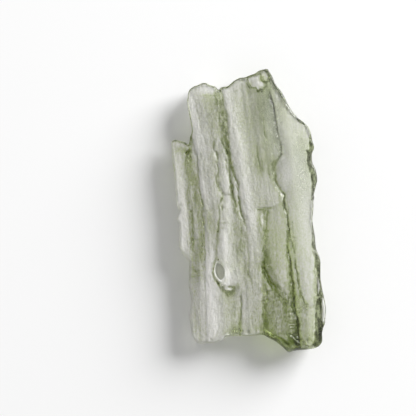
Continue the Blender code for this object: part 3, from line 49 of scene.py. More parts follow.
# Outline of the stone seen from above, x to the right, y down the drawing.
OUTLINE = [
    # broken top end of the left rib
    (171.7, 143.0), (173.2, 140.2), (177.0, 140.0), (181.0, 141.2), (185.0, 142.3), (188.3, 144.6),
    # notch, then the left edge of the tall rib
    (189.6, 141.5), (190.2, 137.0), (191.9, 132.0), (191.6, 127.0), (190.6, 121.5), (189.6, 115.0),
    (188.4, 108.5), (187.3, 101.0), (188.1, 96.2), (188.9, 91.5), (190.6, 89.0),
    # top of the tall rib
    (194.2, 86.6), (198.0, 85.2), (201.5, 83.6), (206.0, 83.1), (209.2, 85.0), (213.0, 86.0), (215.8, 87.2),
    (217.6, 89.3), (219.2, 89.7), (220.6, 88.0), (223.6, 86.9), (228.2, 86.1),
    # rising top edge
    (231.2, 83.6), (234.8, 80.6), (239.5, 78.2), (245.0, 77.6), (250.0, 75.5), (255.0, 73.6), (259.0, 71.0),
    (263.0, 69.8), (267.0, 69.2), (268.8, 71.6),
    # long broken shoulder on the right
    (271.0, 75.0), (273.0, 79.0), (274.8, 83.6), (277.4, 87.4), (280.2, 90.6), (282.8, 95.2), (285.0, 99.0),
    (287.2, 104.0), (289.8, 108.0), (292.0, 112.0), (295.0, 115.3), (298.0, 118.6), (301.2, 120.7),
    (304.0, 123.2), (307.0, 126.0), (309.4, 130.0), (310.8, 135.0),
    # right edge, with its scallops
    (312.1, 141.0), (313.8, 147.5), (312.9, 150.6), (311.7, 153.4), (311.5, 158.0), (312.1, 163.0),
    (314.0, 167.0), (315.5, 171.0), (316.6, 176.0), (316.8, 181.0), (315.6, 185.5), (314.6, 190.0),
    (313.3, 195.0), (313.9, 198.0), (312.9, 201.5), (313.0, 207.0), (312.6, 213.0), (312.0, 219.0),
    (312.6, 225.0), (313.6, 231.0), (314.6, 237.0), (315.0, 243.0), (315.9, 249.0), (317.9, 254.0),
    (319.8, 260.0), (320.1, 268.0), (320.0, 276.0), (320.7, 282.0), (321.6, 288.0), (323.0, 294.0),
    (324.1, 299.0), (325.1, 305.0), (325.4, 312.0), (325.0, 318.0), (324.4, 323.5), (322.6, 328.0),
    (321.7, 334.0), (322.0, 340.0), (320.9, 343.2), (318.4, 346.0),
    # foot of the thick right part
    (314.0, 348.0), (309.0, 348.9), (303.0, 349.6), (297.0, 350.1), (292.0, 351.1), (289.0, 352.0),
    (286.4, 350.5), (283.4, 347.5), (279.2, 344.0), (275.4, 341.0), (270.6, 338.6), (267.0, 336.5),
    (264.0, 334.9),
    # thin foot of the middle
    (260.0, 334.4), (254.5, 335.3), (247.0, 335.6), (240.0, 335.6), (232.0, 335.9), (225.4, 336.5),
    (223.2, 339.0), (219.0, 341.0), (213.0, 342.5), (207.0, 342.7), (201.2, 343.8), (197.2, 342.6),
    # left foot and the left edge up to the rib
    (194.4, 339.4), (192.6, 336.0), (191.8, 331.5), (190.8, 327.0), (190.2, 321.0), (189.6, 317.2),
    (190.1, 312.5), (191.0, 306.0), (191.3, 300.0), (190.8, 295.0), (189.7, 290.0), (189.0, 285.5),
    (189.2, 279.5), (189.2, 273.0), (189.4, 266.0), (189.6, 261.8),
    (186.6, 257.6), (183.2, 253.6), (180.9, 250.0), (179.5, 246.0), (179.5, 240.0), (179.9, 234.0),
    (179.4, 228.0), (179.2, 223.0), (177.3, 219.6), (178.2, 215.2), (179.6, 211.0), (178.9, 208.0),
    (177.4, 205.0), (177.0, 200.0), (176.3, 194.0), (175.4, 188.0), (175.6, 182.0), (174.9, 176.0),
    (173.9, 170.0), (173.0, 163.0), (172.7, 157.0), (172.1, 150.0),
]
# The pierced hole at the end of the channel.
HOLE = [(217.6, 261.9), (219.8, 262.6), (222.0, 264.6), (224.0, 267.2), (224.9, 270.6), (224.9, 274.2),
        (223.6, 277.6), (221.0, 280.2), (218.8, 278.8), (216.6, 276.0), (215.2, 272.4), (214.9, 268.6),
        (215.7, 264.6)]

def smooth(a, b, x):
    t = np.clip((x - a) / (b - a), 0.0, 1.0)
    return t * t * (3 - 2 * t)

def lattice(ix, iy, seed):
    h = (ix * 374761393 + iy * 668265263 + seed * 1013904223) & 0xFFFFFFFF
    h = ((h ^ (h >> 13)) * 1274126177) & 0xFFFFFFFF
    h = h ^ (h >> 16)
    return h / 2147483647.5 - 1.0

def noise(x, y, seed):
    ix, iy = np.floor(x).astype(np.int64), np.floor(y).astype(np.int64)
    fx, fy = x - ix, y - iy
    u, v = fx * fx * fx * (fx * (fx * 6 - 15) + 10), fy * fy * fy * (fy * (fy * 6 - 15) + 10)
    a, b = lattice(ix, iy, seed), lattice(ix + 1, iy, seed)
    c, d = lattice(ix, iy + 1, seed), lattice(ix + 1, iy + 1, seed)
    return (a * (1 - u) + b * u) * (1 - v) + (c * (1 - u) + d * u) * v

def fbm(x, y, seed, octaves=3, gain=0.5):
    total, amp, norm = 0.0, 1.0, 0.0
    for k in range(octaves):
        total = total + amp * noise(x * 2.03 ** k, y * 2.03 ** k, seed + 17 * k)
        norm += amp
        amp *= gain
    return total / norm

def spline(points, steps, closed=False):
    """Catmull-Rom curve through rows of numbers."""
    p = np.array(points, float)
    n = len(p)
    if steps == 1:
        return p
    rows = []
    for i in range(n if closed else n - 1):
        if closed:
            a, b, c, d = p[(i - 1) % n], p[i], p[(i + 1) % n], p[(i + 2) % n]
        else:
            a, b, c, d = p[max(i - 1, 0)], p[i], p[i + 1], p[min(i + 2, n - 1)]
        for k in range(steps):
            t = k / steps
            rows.append(0.5 * (2 * b + (c - a) * t + (2 * a - 5 * b + 4 * c - d) * t * t
                               + (3 * b - a - 3 * c + d) * t ** 3))
    if not closed:
        rows.append(p[-1])
    return np.array(rows)

def to_curve(x, y, curve, chunk=20000):
    """Distance to a closed curve and the place along it, in plan units."""
    a = curve[:, :2]
    b = np.roll(a, -1, 0)
    e = b - a
    ll = np.maximum((e * e).sum(1), 1e-12)
    length = np.sqrt(ll)
    start = np.concatenate([[0], np.cumsum(length)])
    dist, place = np.empty(len(x)), np.empty(len(x))
    for s in range(0, len(x), chunk):
        px, py = x[s:s + chunk, None] - a[None, :, 0], y[s:s + chunk, None] - a[None, :, 1]
        t = np.clip((px * e[:, 0] + py * e[:, 1]) / ll, 0, 1)
        qx, qy = px - t * e[:, 0], py - t * e[:, 1]
        dd = qx * qx + qy * qy
        k = dd.argmin(1)
        r = np.arange(len(k))
        dist[s:s + chunk] = np.sqrt(dd[r, k])
        place[s:s + chunk] = start[k] + t[r, k] * length[k]
    return dist, place

class Track:
    """A line that runs down the stone (down=True) or across it, with the values it carries."""
    def __init__(self, rows, down=True):
        p = spline(rows, 6)
        key = p[:, 1] if down else p[:, 0]
        p = p[np.argsort(key, kind="stable")]
        self.down = down
        self.key = p[:, 1] if down else p[:, 0]
        self.off = p[:, 0] if down else p[:, 1]
        self.slope = np.gradient(self.off, np.maximum.accumulate(self.key + np.arange(len(p)) * 1e-6))
        self.values = p[:, 2:]

    def read(self, x, y):
        """Distance across the line (positive to its right, or below it), distance past its ends, values."""
        k, o = (y, x) if self.down else (x, y)
        d = (o - np.interp(k, self.key, self.off)) / np.sqrt(1 + np.interp(k, self.key, self.slope) ** 2)
        over = np.maximum(np.maximum(self.key[0] - k, k - self.key[-1]), 0)
        return d, over, [np.interp(k, self.key, self.values[:, j]) for j in range(self.values.shape[1])]

def flow_shift(y):
    """How far the grain of the stone has moved to the right at height y of the drawing."""
    y = np.asarray(y, float)
    t = np.clip((y - 190) / 90.0, 0, 1)
    # slope 0.155 above, 0.055 below, blended
    base = 0.155 * (np.minimum(y, 190) - 210)
    mid = 90.0 * (0.155 * t - 0.10 * (t ** 3 - 0.5 * t ** 4))
    low = 0.055 * np.maximum(y - 280, 0)
    return base + mid + low

# Grooves and ridges: rows of x, y, height change in mm, reach to the left, reach to the right.
LINES = {
    # groove between the left rib and the tall rib
    "groove_a": ("v", [(190.5, 136, .3, 2, 1.2), (193.6, 146, .30, 5, 1.3), (195.6, 155, .34, 6, 1.3), (197.6, 166, .34, 7, 1.3),
                       (198.8, 177, .32, 8, 1.3), (199.8, 186, .30, 8, 1.3), (201.4, 196, .3, 9, 1.3), (202.7, 205, .28, 9, 1.3),
                       (203.6, 215, .45, 8, 1.3), (204.2, 225, .36, 7, 1.3), (205.2, 235, .3, 6, 1.4), (205.6, 247, .2, 5, 1.2),
                       (205.4, 262, .08, 5, 1.0), (205.4, 290, .03, 3, .9), (206.0, 312, .02, 3, .8), (206.4, 341, .02, 3, .8)]),
    # main groove, down from the notch in the top edge
    "groove_b": ("v", [(219.8, 87, .2, 2.0, 1.4), (222.2, 96, .16, 2.0, 1.2), (224.6, 105, .18, 2.0, 1.2), (226.8, 116, .24, 2.0, 1.2),
                       (228.2, 126, .3, 2.4, 1.2), (229.0, 136, .26, 3, 1.4), (229.6, 146, .28, 3, 1.6), (230.6, 156, .28, 3, 1.6),
                       (232.6, 166, .3, 3, 1.5), (235.0, 176, .3, 3, 1.5), (237.8, 184, .3, 3, 1.5), (238.6, 192, .3, 3, 1.6),
                       (239.4, 200, .5, 3, 1.6), (240.9, 209, .5, 3, 2), (243.6, 218, .4, 3, 2), (245.6, 228, .35, 4, 3),
                       (247.4, 242, .25, 5, 3), (248.6, 256, .3, 4, 2.6), (248.2, 268, .3, 4, 2.4), (250.4, 280, .2, 4, 2.6), (253.6, 294, .1, 4, 3)]),
    "groove_b2": ("v", [(227.0, 150, .0, 2, 2), (228.6, 158, .45, 2, 1.6), (229.0, 166, .5, 2, 1.6), (229.4, 174, .45, 2, 1.5), (231.2, 181, .5, 2, 1.5),
                        (232.2, 188, .5, 2.2, 1.6), (233.6, 194, .3, 2.2, 1.8), (235.6, 202, .0, 2, 2)]),
    # right groove, wandering round the bulge
    "groove_g": ("v", [(267.6, 88, .1, 2, 2), (269.2, 95, .3, 2.4, 2.4), (271.6, 101, .4, 2.6, 2.4), (274.0, 107, .45, 2.6, 2.6), (275.6, 114, .45, 2.6, 2.6),
                       (276.2, 122, .45, 2.6, 2.4), (277.0, 129, .45, 2.6, 2.2), (279.0, 136, .45, 2.4, 2.2), (280.6, 143, .45, 2.4, 2.2),
                       (281.7, 150, .5, 2.4, 2.6), (281.6, 155, .5, 2.4, 2.6), (278.8, 158.8, .45, 2.4, 3), (276.2, 162.4, .5, 2.4, 3),
                       (275.2, 168, .5, 2.4, 3), (275.2, 174, .5, 2.4, 3), (276.0, 180, .55, 2.4, 2.6), (278.2, 186, .55, 2.4, 2.2), (281.4, 191, .5, 2.4, 2.2),
                       (284.4, 195, .4, 2.4, 2.4), (285.2, 200, .5, 2.4, 3), (285.4, 206, .55, 2.4, 3.4), (287.0, 213, .6, 2.4, 3.2),
                       (288.4, 219, .6, 2.4, 3), (288.6, 226, .6, 2.4, 3), (289.0, 234, .6, 2.4, 3), (289.0, 243, .6, 2.4, 3), (289.2, 252, .65, 2.6, 3),
                       (291.0, 260, .62, 3, 3.4), (291.4, 268, .64, 3.4, 3.6), (292.0, 276, .66, 3.6, 4), (293.2, 286, .68, 3.8, 4.4),
                       (294.0, 296, .68, 3.8, 4.4), (295.0, 305, .66, 3.6, 4.2), (296.8, 313, .62, 3.4, 4), (297.6, 322, .60, 3.4, 4), (298.6, 331, .58, 3.4, 3.6),
                       (299.6, 340, .6, 3, 3), (300.4, 350, .5, 3, 3)]),
    "groove_g2": ("v", [(291.6, 215, .0, 2, 2), (293.0, 228, .15, 2, 2), (294.6, 243, .22, 2, 2), (296.2, 254, .26, 2, 1.6), (297.0, 262, .3, 2, 1.4),
                        (298.2, 270, .36, 2, 1.2), (299.2, 279, .4, 2, 1.2), (300.4, 287, .34, 2, 1.4), (301.2, 294, .34, 2, 1.4), (303.6, 301, .3, 2, 1.4),
                        (307.6, 307, .2, 2.6, 1.6), (311, 308, .0, 2, 2)]),
    # left wall of the channel and round the end of it
    "channel_c0": ("v", [(212.6, 142, .0, 1.6, 1.6), (213.6, 149, .16, 2, 1.2), (216.2, 154, .2, 2, 1.2), (217.8, 160, .14, 2, 1.2), (217.0, 166, .16, 2, 1.2), (218.6, 173, .12, 2, 1.2),
                         (218.6, 180, .14, 3, 1.6), (220.0, 186, .2, 4, 1.6), (221.8, 191, .26, 4, 1.4), (223.6, 195, .2, 3, 1.4)]),
    "line_d": ("v", [(240.6, 288, .0, 3, 2), (240.6, 295, .2, 3, 1.6), (240.4, 304, .4, 3, 1.4), (240.6, 313, .4, 3, 1.4), (240.0, 323, .4, 3.4, 1.4), (240.2, 331, .35, 3.4, 1.4), (240.4, 337, .25, 3, 1.4)]),
    # feathered diagonal break in the lower right
    "break_h": ("v", [(263.6, 252, .1, 1.4, 2.6), (264.6, 258, .15, 1.4, 2.6), (264.8, 264, .14, 1.6, 3), (266.2, 270, .14, 1.6, 3), (268.2, 276, .14, 1.6, 2.6),
                      (270.2, 281, .14, 1.4, 2.4), (273.2, 286, .14, 1.4, 2.6), (277.6, 291, .16, 2.4, 3.6), (281.6, 296, .12, 3, 4), (284.2, 302, .08, 3, 4), (288, 308, .0, 2, 3)]),
    "break_h2": ("v", [(262.4, 262, .0, 1, 1), (263.6, 269, .1, 1, 1), (265.2, 276, .12, 1, 1), (267.4, 282, .1, 1, 1), (270.6, 287, .08, 1, 1), (274.6, 291, .0, 1, 1)]),
    # bubble tracks in the hollow between the ribs
    "track_1": ("v", [(263.4, 116, .0, .7, .9), (263.8, 122, .10, .7, .9), (264.2, 130, .12, .7, .9), (264.8, 135, .14, .7, .9), (265.4, 139, .0, .7, .9)]),
    "track_2": ("v", [(266.4, 130, .0, .7, .9), (266.8, 137, .08, .7, .9), (267.0, 144, .06, .7, .9), (267.2, 150, .0, .7, .9)]),
    "track_3": ("v", [(261.4, 157, .0, .7, .9), (261.6, 162, .14, .7, .9), (261.8, 167, .14, .7, .9), (262.4, 172, .0, .7, .9)]),
    "track_4": ("v", [(267.6, 163, .0, .7, .9), (267.8, 169, .10, .7, .9), (268.6, 174, .12, .7, .9), (269.2, 179, .0, .7, .9)]),
    "track_5": ("v", [(257.0, 146, .0, 1.2, 1.2), (257.4, 154, .07, 1.2, 1.2), (258.6, 163, .08, 1.2, 1.2), (260.0, 171, .07, 1.2, 1.2), (262, 177, .0, 1.2, 1.2)]),
    # left part of the tall rib: one faint flute
    "flute_1": ("v", [(194.6, 93, .0, 2, 1.2), (195.4, 101, .10, 2, 1.2), (197.2, 110, .16, 2.4, 1.2), (199.2, 119, .14, 2.4, 1.2), (200.4, 129, .12, 2.4, 1.2), (201.2, 137, .0, 2, 1.2)]),
    # right edge: inner line of the double lower edge
    "edge_line": ("v", [(312.6, 250, .0, 1, 1), (314.2, 255, .2, 1, 1), (315.6, 262, .1, 1.2, 1), (316.2, 272, .1, 1.2, 1), (316.4, 281, .3, 1.2, .8), (316.8, 290, .35, 1.2, .8),
                        (317.8, 297, .35, 1.2, .8), (319.2, 303, .25, 1.2, .8), (320.2, 309, .0, 1, 1)]),
}

# Steps: the ground is this much lower on the right of the line, fading out after a while.
STEPS = {
    "step_f": (True, 1, [(256.5, 207, .0, 1.6, 30), (259.4, 213, .08, 1.6, 30), (261.8, 222, .14, 1.6, 30), (262.8, 235, .14, 2.2, 30), (262.8, 250, .16, 2.2, 30), (262.2, 266, .18, 2.4, 30),
                (262.8, 282, .2, 2.6, 32), (262.7, 300, .22, 2.6, 34), (262.4, 318, .24, 2.6, 34), (262.0, 334, .26, 2.6, 34)]),
    "patch_foot": (False, 1, [(284.0, 202.5, .0, .8, 12), (277.0, 205.4, .10, .8, 12), (270.0, 207.3, .2, .7, 12), (264.0, 209.0, .28, .6, 12), (258.5, 209.4, .28, .6, 12), (255, 209.6, .0, .8, 12)]),
    "rib_end": (False, 1, [(317.4, 299.5, .3, .6, 14), (314.6, 303.6, .4, .6, 14), (311.0, 306.0, .3, 1.2, 14), (306.6, 307.6, .3, 1.6, 14), (302.0, 303.0, .2, 1.6, 12), (299.4, 298.0, .0, 1.2, 12)]),
    "tube_head": (False, 1, [(235.0, 194.2, .0, .6, 9), (231.0, 194.0, .12, .6, 9), (227.0, 194.2, .18, .6, 9), (223.4, 195.2, .2, .6, 9), (221.6, 197.6, .0, .8, 9)]),
    "lobe_chip": (False, -1, [(218.0, 95.4, .0, .7, 9), (213.0, 95.6, .05, .9, 9), (208.0, 95.0, .06, .9, 9), (203.4, 95.2, .04, .9, 9), (200, 94.2, .0, .8, 9)]),
}

# Round scoops and bubbles: x, y, radius, depth in mm.
SCOOPS = [
    (242.6, 80.8, 2.4, .10),
    (283.6, 194.6, 3.6, .16), (223.0, 208.6, 1.3, .08), (191.4, 212.2, 1.2, .10),
    (267.2, 292.4, 1.8, .12), (268.0, 299.8, 2.0, .14), (250.6, 209.8, 1.2, .10), (297.2, 312.6, 2.2, .04),
    (292.4, 325.2, 3.4, .12), (293.6, 331.4, 3.6, .14), 
    (309.0, 341.2, 3.2, .14), (304.6, 345.0, 2.8, .14), (313.2, 343.6, 2.6, .14), (297.4, 119.4, 2.8, .10), (302.6, 123.2, 2.4, .10),
    (291.4, 115.2, 2.6, .08), (286.6, 109.2, 2.4, .08), (283.0, 96.6, 2.6, .10), (267.6, 271.6, 2.2, .12), (263.4, 212.6, 2.2, .14), (268.0, 212.4, 2.0, .16),
    (248.0, 333.0, 2.2, .16), (241.6, 331.2, 1.8, .18), (229.4, 333.6, 1.8, .14), (211.4, 340.6, 1.8, .14), (180.4, 205.6, 2.0, .12),
]

# Short lines, specks and flecks, some of them painted shade and one a painted highlight: depth in mm, greenness, then
# rows of x, y, half width.
STROKES = [
    # the broad rough groove under the notch, and its strands
    (.05, .12, [(222.4, 112, 1.6), (223.6, 122, 1.8), (225.0, 130, 1.8), (226.4, 135.6, 1.4)]),
    (.06, .42, [(225.0, 137, 1.3), (227.0, 143, 1.9), (228.6, 147.5, 1.2)]),
    (.03, .38, [(227.2, 149, 2.0), (227.6, 158, 2.3), (228.2, 168, 2.2), (229.2, 176, 1.6), (231.2, 182, 1.5), (232.0, 188, 1.9), (232.8, 193, 1.6), (234.4, 198, 1.4), (236.0, 206, 1.2)]),
    (.05, .44, [(229.8, 152, .8), (230.8, 160, 1.1), (231.8, 167, 1.5), (233.6, 173, 1.9), (235.6, 178, 1.8), (237.4, 182, 1.3), (238.6, 188, .7)]),
    (.06, .35, [(235.4, 184, .5), (237.0, 188, .5), (238.6, 191, .5)]), (.06, .3, [(234.2, 187, .5), (235.2, 190.4, .4)]), (.05, .2, [(235.0, 171, .4), (236.6, 178, .5)]),
    (.08, .46, [(238.4, 195, .7), (239.2, 202, 1.1), (240.4, 208, 1.1), (241.8, 214, 1.0), (243.0, 219, .9), (244.6, 226, .5)]), (.04, .3, [(243.4, 211.6, .8), (245.6, 216, .8), (246.4, 219, .6)]),
    (0, .20, [(231.6, 182, 2.2), (233.4, 192, 2.4), (235.0, 204, 2.2), (236.8, 215, 2.2)]), (.03, .24, [(237.8, 212, 1.0), (240.4, 222, 1.4), (241.6, 230, 1.2)]),
    (0, -.22, [(230.6, 124, .6), (230.8, 134, .6)]), (0, -.25, [(231.4, 154, .5), (231.6, 157, .6)]), (0, -.2, [(236.4, 184, .4), (237.8, 187, .4)]),
    # the small loop and line left of it, down to the head of the channel
    (.05, .22, [(214.0, 141, .8), (213.4, 150, .8)]), (.05, .28, [(216.0, 152, .5), (217.9, 155.4, .9), (217.4, 159.4, .6)]), (0, -.3, [(214.8, 154, .6), (215.2, 158, .6)]),
    (.05, .24, [(215.4, 162, .4), (217.4, 168, .7), (217.6, 173, .7), (216.2, 178, .8), (217.6, 184, 1.1), (219.6, 190, 1.3), (221.6, 194.6, 1.3), (221.8, 199, 1.0)]),
    (.05, .22, [(222.6, 193.8, .6), (227, 193.6, .6), (230.6, 194.4, .5)]),
    # left side of the channel and round the hole
    (.07, .36, [(221.6, 193, .8), (221.4, 198, 1.4), (220.6, 201.6, 1.1)]), (.05, .30, [(219.8, 202, .7), (219.0, 210, .9), (219.2, 219, .8)]), (.05, .36, [(221.8, 206, .5), (222.2, 210.6, .9)]),
    (.05, .36, [(219.4, 219.6, .6), (218.0, 224, 1.3), (217.4, 231, 1.4)]), (.05, .28, [(217.2, 231, 1.2), (216.8, 242, 1.7), (216.8, 252, 1.7), (216.2, 259, 1.3)]),
    (.08, .36, [(215.0, 261, 1.1), (213.6, 266, .9), (212.5, 272, .8), (213.4, 277, 1.0), (215.6, 281, 1.3), (218.6, 284.6, 1.6)]),
    (.05, .7, [(218.0, 260.0, 1.0)]), (.04, .3, [(222.0, 260.4, .5)]), (0, -.2, [(211.6, 252, 1.4), (210.6, 262, 1.6), (210.0, 274, 1.4)]),
    # the curved lip below the bowl, with a painted highlight as its bright fleck
    (.02, .38, [(217.4, 283.0, 1.6), (220.8, 287.2, 2.8), (225.0, 290.4, 3.4), (229.6, 292.6, 3.8), (233.0, 291.2, 3.0), (235.8, 287.6, 2.4), (237.8, 283.6, 1.3)]),
    (.05, .34, [(229.6, 286.4, .9), (234.0, 286.6, 1.3)]), (.04, .3, [(223.6, 287.0, 1.1)]), (-.05, -.75, [(226.4, 288.4, .6), (229.0, 288.8, .8), (231.6, 289.5, .5)]),
    (0, -.2, [(226.6, 283.4, 1.2), (229.4, 283.8, 1.2)]), (.04, .22, [(229.4, 291.4, 1.2)]), (0, .25, [(228, 295.6, 1.6)]),
    (.03, .2, [(235.2, 270.6, .9)]), (.05, .3, [(221.3, 227.6, .8)]), (.03, .2, [(219.6, 222.6, .5), (224, 223.0, .5), (228, 222.6, .5)]),
    # the diagonal break low on the right, in strands
    (.03, .24, [(263.2, 246, .6), (263.6, 252, 1.0), (264.8, 258, 1.4), (264.8, 264, 1.4)]), (.04, .44, [(261.8, 266.6, 1.4), (263.6, 268.2, 1.4)]),
    (.05, .54, [(265.4, 267.8, .9), (266.9, 271.4, .8), (268.2, 275, 1.1), (269.6, 278.4, .8), (271.4, 281.2, .9), (273.8, 283.6, .7), (276.4, 287, .6)]),
    (.0, .08, [(265.6, 254, 3.4), (265, 262, 4.6), (267.4, 270, 4.6), (271, 280, 4.4), (277, 288, 3.6), (283, 299, 3.0), (286, 312, 3.0)]),
    (.0, .15, [(264.6, 272, 1.2), (264.8, 286, 2.0), (264.8, 310, 2.6), (265.6, 330, 2.4)]), (.0, .08, [(288.6, 300, 2.4), (289.6, 316, 2.6), (288.6, 334, 2.6)]),
    (.05, .46, [(264.0, 262, .9), (264.8, 268.4, .9), (265.4, 272, .8), (265.4, 276, .7), (266.6, 279.4, 1.0), (267.8, 281.8, 1.2), (269.6, 284, .9), (271.6, 286.4, .9), (272.8, 289, .7)]),
    (.04, .45, [(262.2, 269, .8), (263.4, 276, 1.0), (264.4, 280, .8)]), (.03, .22, [(269.8, 276, .6), (273.2, 280.4, .9), (276.8, 283.8, .8), (278.8, 287.8, .9)]),
    (.04, .3, [(269.6, 266.4, .7), (271.8, 267.2, .8)]), (.02, .12, [(275.4, 274.4, .5), (279.6, 276.8, .6)]), (.0, .10, [(266.8, 252, 2.6), (268.6, 262, 3.0)]),
    (.06, .24, [(266.9, 292.4, 1.6)]), (.06, .2, [(267.8, 299, 1.8)]), (.02, .16, [(276.0, 288.6, 2.0), (278.2, 293.4, 2.8), (281.0, 299, 3.4), (284.6, 305, 3.4), (286.2, 312, 3.0)]),
    (-.03, -.22, [(281.4, 292.4, .6)]), (-.03, -.22, [(284.4, 292.0, .6)]), (-.03, -.26, [(284.8, 295.8, .7)]), (.05, .26, [(283.2, 292.6, .6)]), (.05, .3, [(285.3, 294.3, .7)]), (.05, .26, [(288.6, 297.6, .8)]), (.05, .26, [(280.6, 289.6, .7)]),
    # right groove, wide and deep in its lower half
    (.06, .44, [(287.2, 246, 1.0), (288.2, 254, 1.5), (289.9, 259.6, 1.8), (290.4, 265, 1.7), (290.6, 271, 1.8), (291.2, 276, 2.2), (292.2, 281, 2.8), (293.2, 287, 3.3), (293.8, 293, 3.4), (294.2, 300, 3.4), (294.8, 306, 3.1), (295.6, 311, 2.4)]),
    (.08, .42, [(292.8, 308.6, .8), (294.6, 312.8, .9), (295.9, 317, .9), (295.5, 321, .8), (296.8, 325, .9)]),
    (.04, .32, [(297.2, 318, 2.8), (298.0, 326, 3.0), (298.4, 334, 2.4), (299.9, 339, 1.6), (300.5, 344, 1.8), (300.6, 348, 1.4)]), (0, .14, [(295.6, 296, 2.4), (297.0, 306, 2.6), (299.0, 318, 2.8), (299.6, 326, 2.2)]),
    (.10, .52, [(295.4, 258, .6), (296.4, 266.6, .9), (297.4, 272, .8), (297.2, 276, .6), (297.7, 280, .9), (298.6, 284.4, .9), (298.6, 289, .6)]),
    (.05, .48, [(299.8, 290, .6), (301.0, 296, 1.1), (303.0, 300.4, 1.3), (306.0, 303.4, 1.5), (307.8, 305.2, 1.1)]), (0, .20, [(304.6, 305.6, 2.4), (306.4, 310, 1.8)]), (0, -.2, [(299.4, 300, .6), (300.8, 306, .7)]),
    # rings and arcs of a burst bubble
    (.04, .24, [(288.8, 312.6, .5), (291.6, 311.2, .5), (294.4, 312.8, .5)]), (.04, .2, [(289.4, 316.0, .5), (292.0, 315.0, .4), (294.6, 316.4, .4)]), (.04, .22, [(288.0, 321.4, .6), (291, 322.6, .5), (295, 321.6, .5)]),
    (-.03, -.28, [(288.6, 323.6, .5), (292, 324.4, .5), (295.8, 323.4, .5)]), (.05, .34, [(288.8, 325.0, .5), (292, 325.6, .5), (295.8, 325.2, .5)]), (-.03, -.28, [(290.4, 326.5, .4), (293.4, 326.6, .4)]), (.05, .3, [(290.4, 327.6, .5), (294.8, 327.7, .5)]),
    (.08, .4, [(291.2, 333.6, .7), (294.6, 337.2, .9), (297.9, 340, .7)]), (0, -.14, [(291.6, 330.0, 2.0), (294.6, 333.4, 1.6)]),
    # dark mottles along the foot
    (.04, .34, [(276.6, 336.4, 1.5), (281.6, 339.6, 1.7), (287.0, 342.8, 2.0), (292.0, 341.4, 1.8), (296.8, 343.6, 1.6)]), (.04, .3, [(295.4, 343.8, 1.3)]), (-.04, -.4, [(292.8, 346.2, 1.2)]), (.0, .24, [(265.6, 331.0, 1.6), (270.8, 334.0, 1.8), (274.0, 336.0, 1.6)]),
    (0, .42, [(265, 333, 1.6), (272, 337, 2.6), (280, 341.6, 3.6), (287, 346.4, 4.2), (294, 347, 3.6), (300, 347, 2.4)]), (.04, .3, [(277, 338, .8), (283, 339.6, 1.0), (288, 344, 1.2)]), (0, .26, [(290.4, 338, 2.6), (296, 341, 2.6)]), (.06, .45, [(302.2, 349, .9), (306.8, 348.4, .8)]), (.06, .36, [(305.8, 345.0, .6), (310.2, 346.2, 1.0), (314.0, 344.6, .9), (316.2, 342.8, .8)]), (.05, .32, [(308.4, 338.6, .9), (311.4, 340.8, .8), (314.2, 342.4, .6)]),
    (.02, .14, [(306.0, 328, .5), (308.0, 333, .5), (309.4, 338, .5)]), (.05, .2, [(302.6, 341, 1.4), (304.6, 345, 1.4)]),
    # broken end of the right rib
    (.05, .5, [(314.2, 302.2, .7), (316.8, 300.2, .7)]), (-.03, -.4, [(314.2, 303.8, .5), (316.6, 302.4, .5)]),
    # lines down the hollow between the ribs
    (.03, .18, [(256.2, 146, .7), (257.4, 156, .9), (258.6, 166, 1.0)]), (.04, .3, [(263.6, 120, .4), (264.4, 130, .5), (265.0, 136, .5)]),
    # fine double line down the lower left
    (0, -.30, [(203.4, 212, .5), (205.4, 240, .5), (206.4, 262, .5), (206.8, 300, .5), (207.2, 336, .5)]), (.02, .26, [(202.2, 212, .6), (204.2, 240, .6), (205.2, 262, .5), (205.6, 300, .5), (206.0, 336, .5)]),
    (.02, .20, [(191, 266.4, .6), (198, 266.0, .7), (204, 266.6, .5)]), (.02, .22, [(190.6, 270.6, .6), (197, 271.2, .7), (203, 270.4, .5)]), (.02, .2, [(190.8, 276.4, .7), (199, 276.0, .6), (204.6, 276.8, .5)]), (.01, .16, [(191, 282.0, .6), (198, 282.6, .6)]),
    (.01, .14, [(194.6, 290, .5), (195.4, 312, .6), (196.4, 332, .5)]), (.01, .14, [(199.6, 290, .5), (200.0, 312, .6), (200.6, 336, .5)]), (.02, .16, [(192.4, 208, .6), (192.8, 226, .7), (193.4, 250, .6)]), (.02, .16, [(197.4, 212, .6), (198.6, 232, .7), (199.6, 256, .6)]),
    # on the side faces: lines of painted shade and paler streaks
    (.02, .30, [(307.2, 151, .9), (307.2, 157, .8), (308.4, 166, .7)]), (0, -.16, [(314.6, 173, .9), (314.4, 180, .9)]), (.02, .2, [(313.0, 186, .8), (312.4, 196, .7)]),
    (.04, .42, [(312.2, 251, .5), (314.0, 254, .9), (314.4, 258, .9), (314.8, 263, .5)]), (.04, .46, [(314.6, 266, .6), (315.2, 276, .8), (315.4, 283, 1.0), (315.9, 289, 1.1), (316.0, 294, 1.1), (315.6, 299, 1.2)]),
    (0, -.30, [(317.8, 271.4, .5), (318.2, 274, .4)]), (0, -.30, [(317.4, 281, .6), (318.2, 288, .6), (318.4, 293, .5)]), (0, -.30, [(318.6, 310, .5), (318.0, 316, .5)]),
    # broken head of the lower right hollow
    (.05, .42, [(257.6, 209.8, .8), (262.2, 209.4, .8), (265.6, 208.6, .8), (270, 207.4, .5), (276, 205.4, .4)]), (.04, .36, [(263.2, 209.2, .9), (265.2, 211, 1.0)]),
    (.05, .38, [(268.2, 210, .8), (267.8, 214.8, 1.2)]), (.05, .52, [(266.9, 214, .6), (266.6, 222, .8), (266.4, 229, .7)]), (.03, .28, [(262.2, 212, 1.0), (263.6, 216, 1.1), (264.8, 220, .9)]),
    (.03, .32, [(258.4, 217, .5), (259.4, 222, .6), (260.8, 226, .6)]), (.04, .36, [(263, 225, .6), (263.6, 230, 1.0), (268, 230.4, .8)]), (0, .24, [(265.2, 231, 3.0), (265.0, 240, 3.8), (265.8, 252, 3.4), (266.4, 262, 3.4)]),
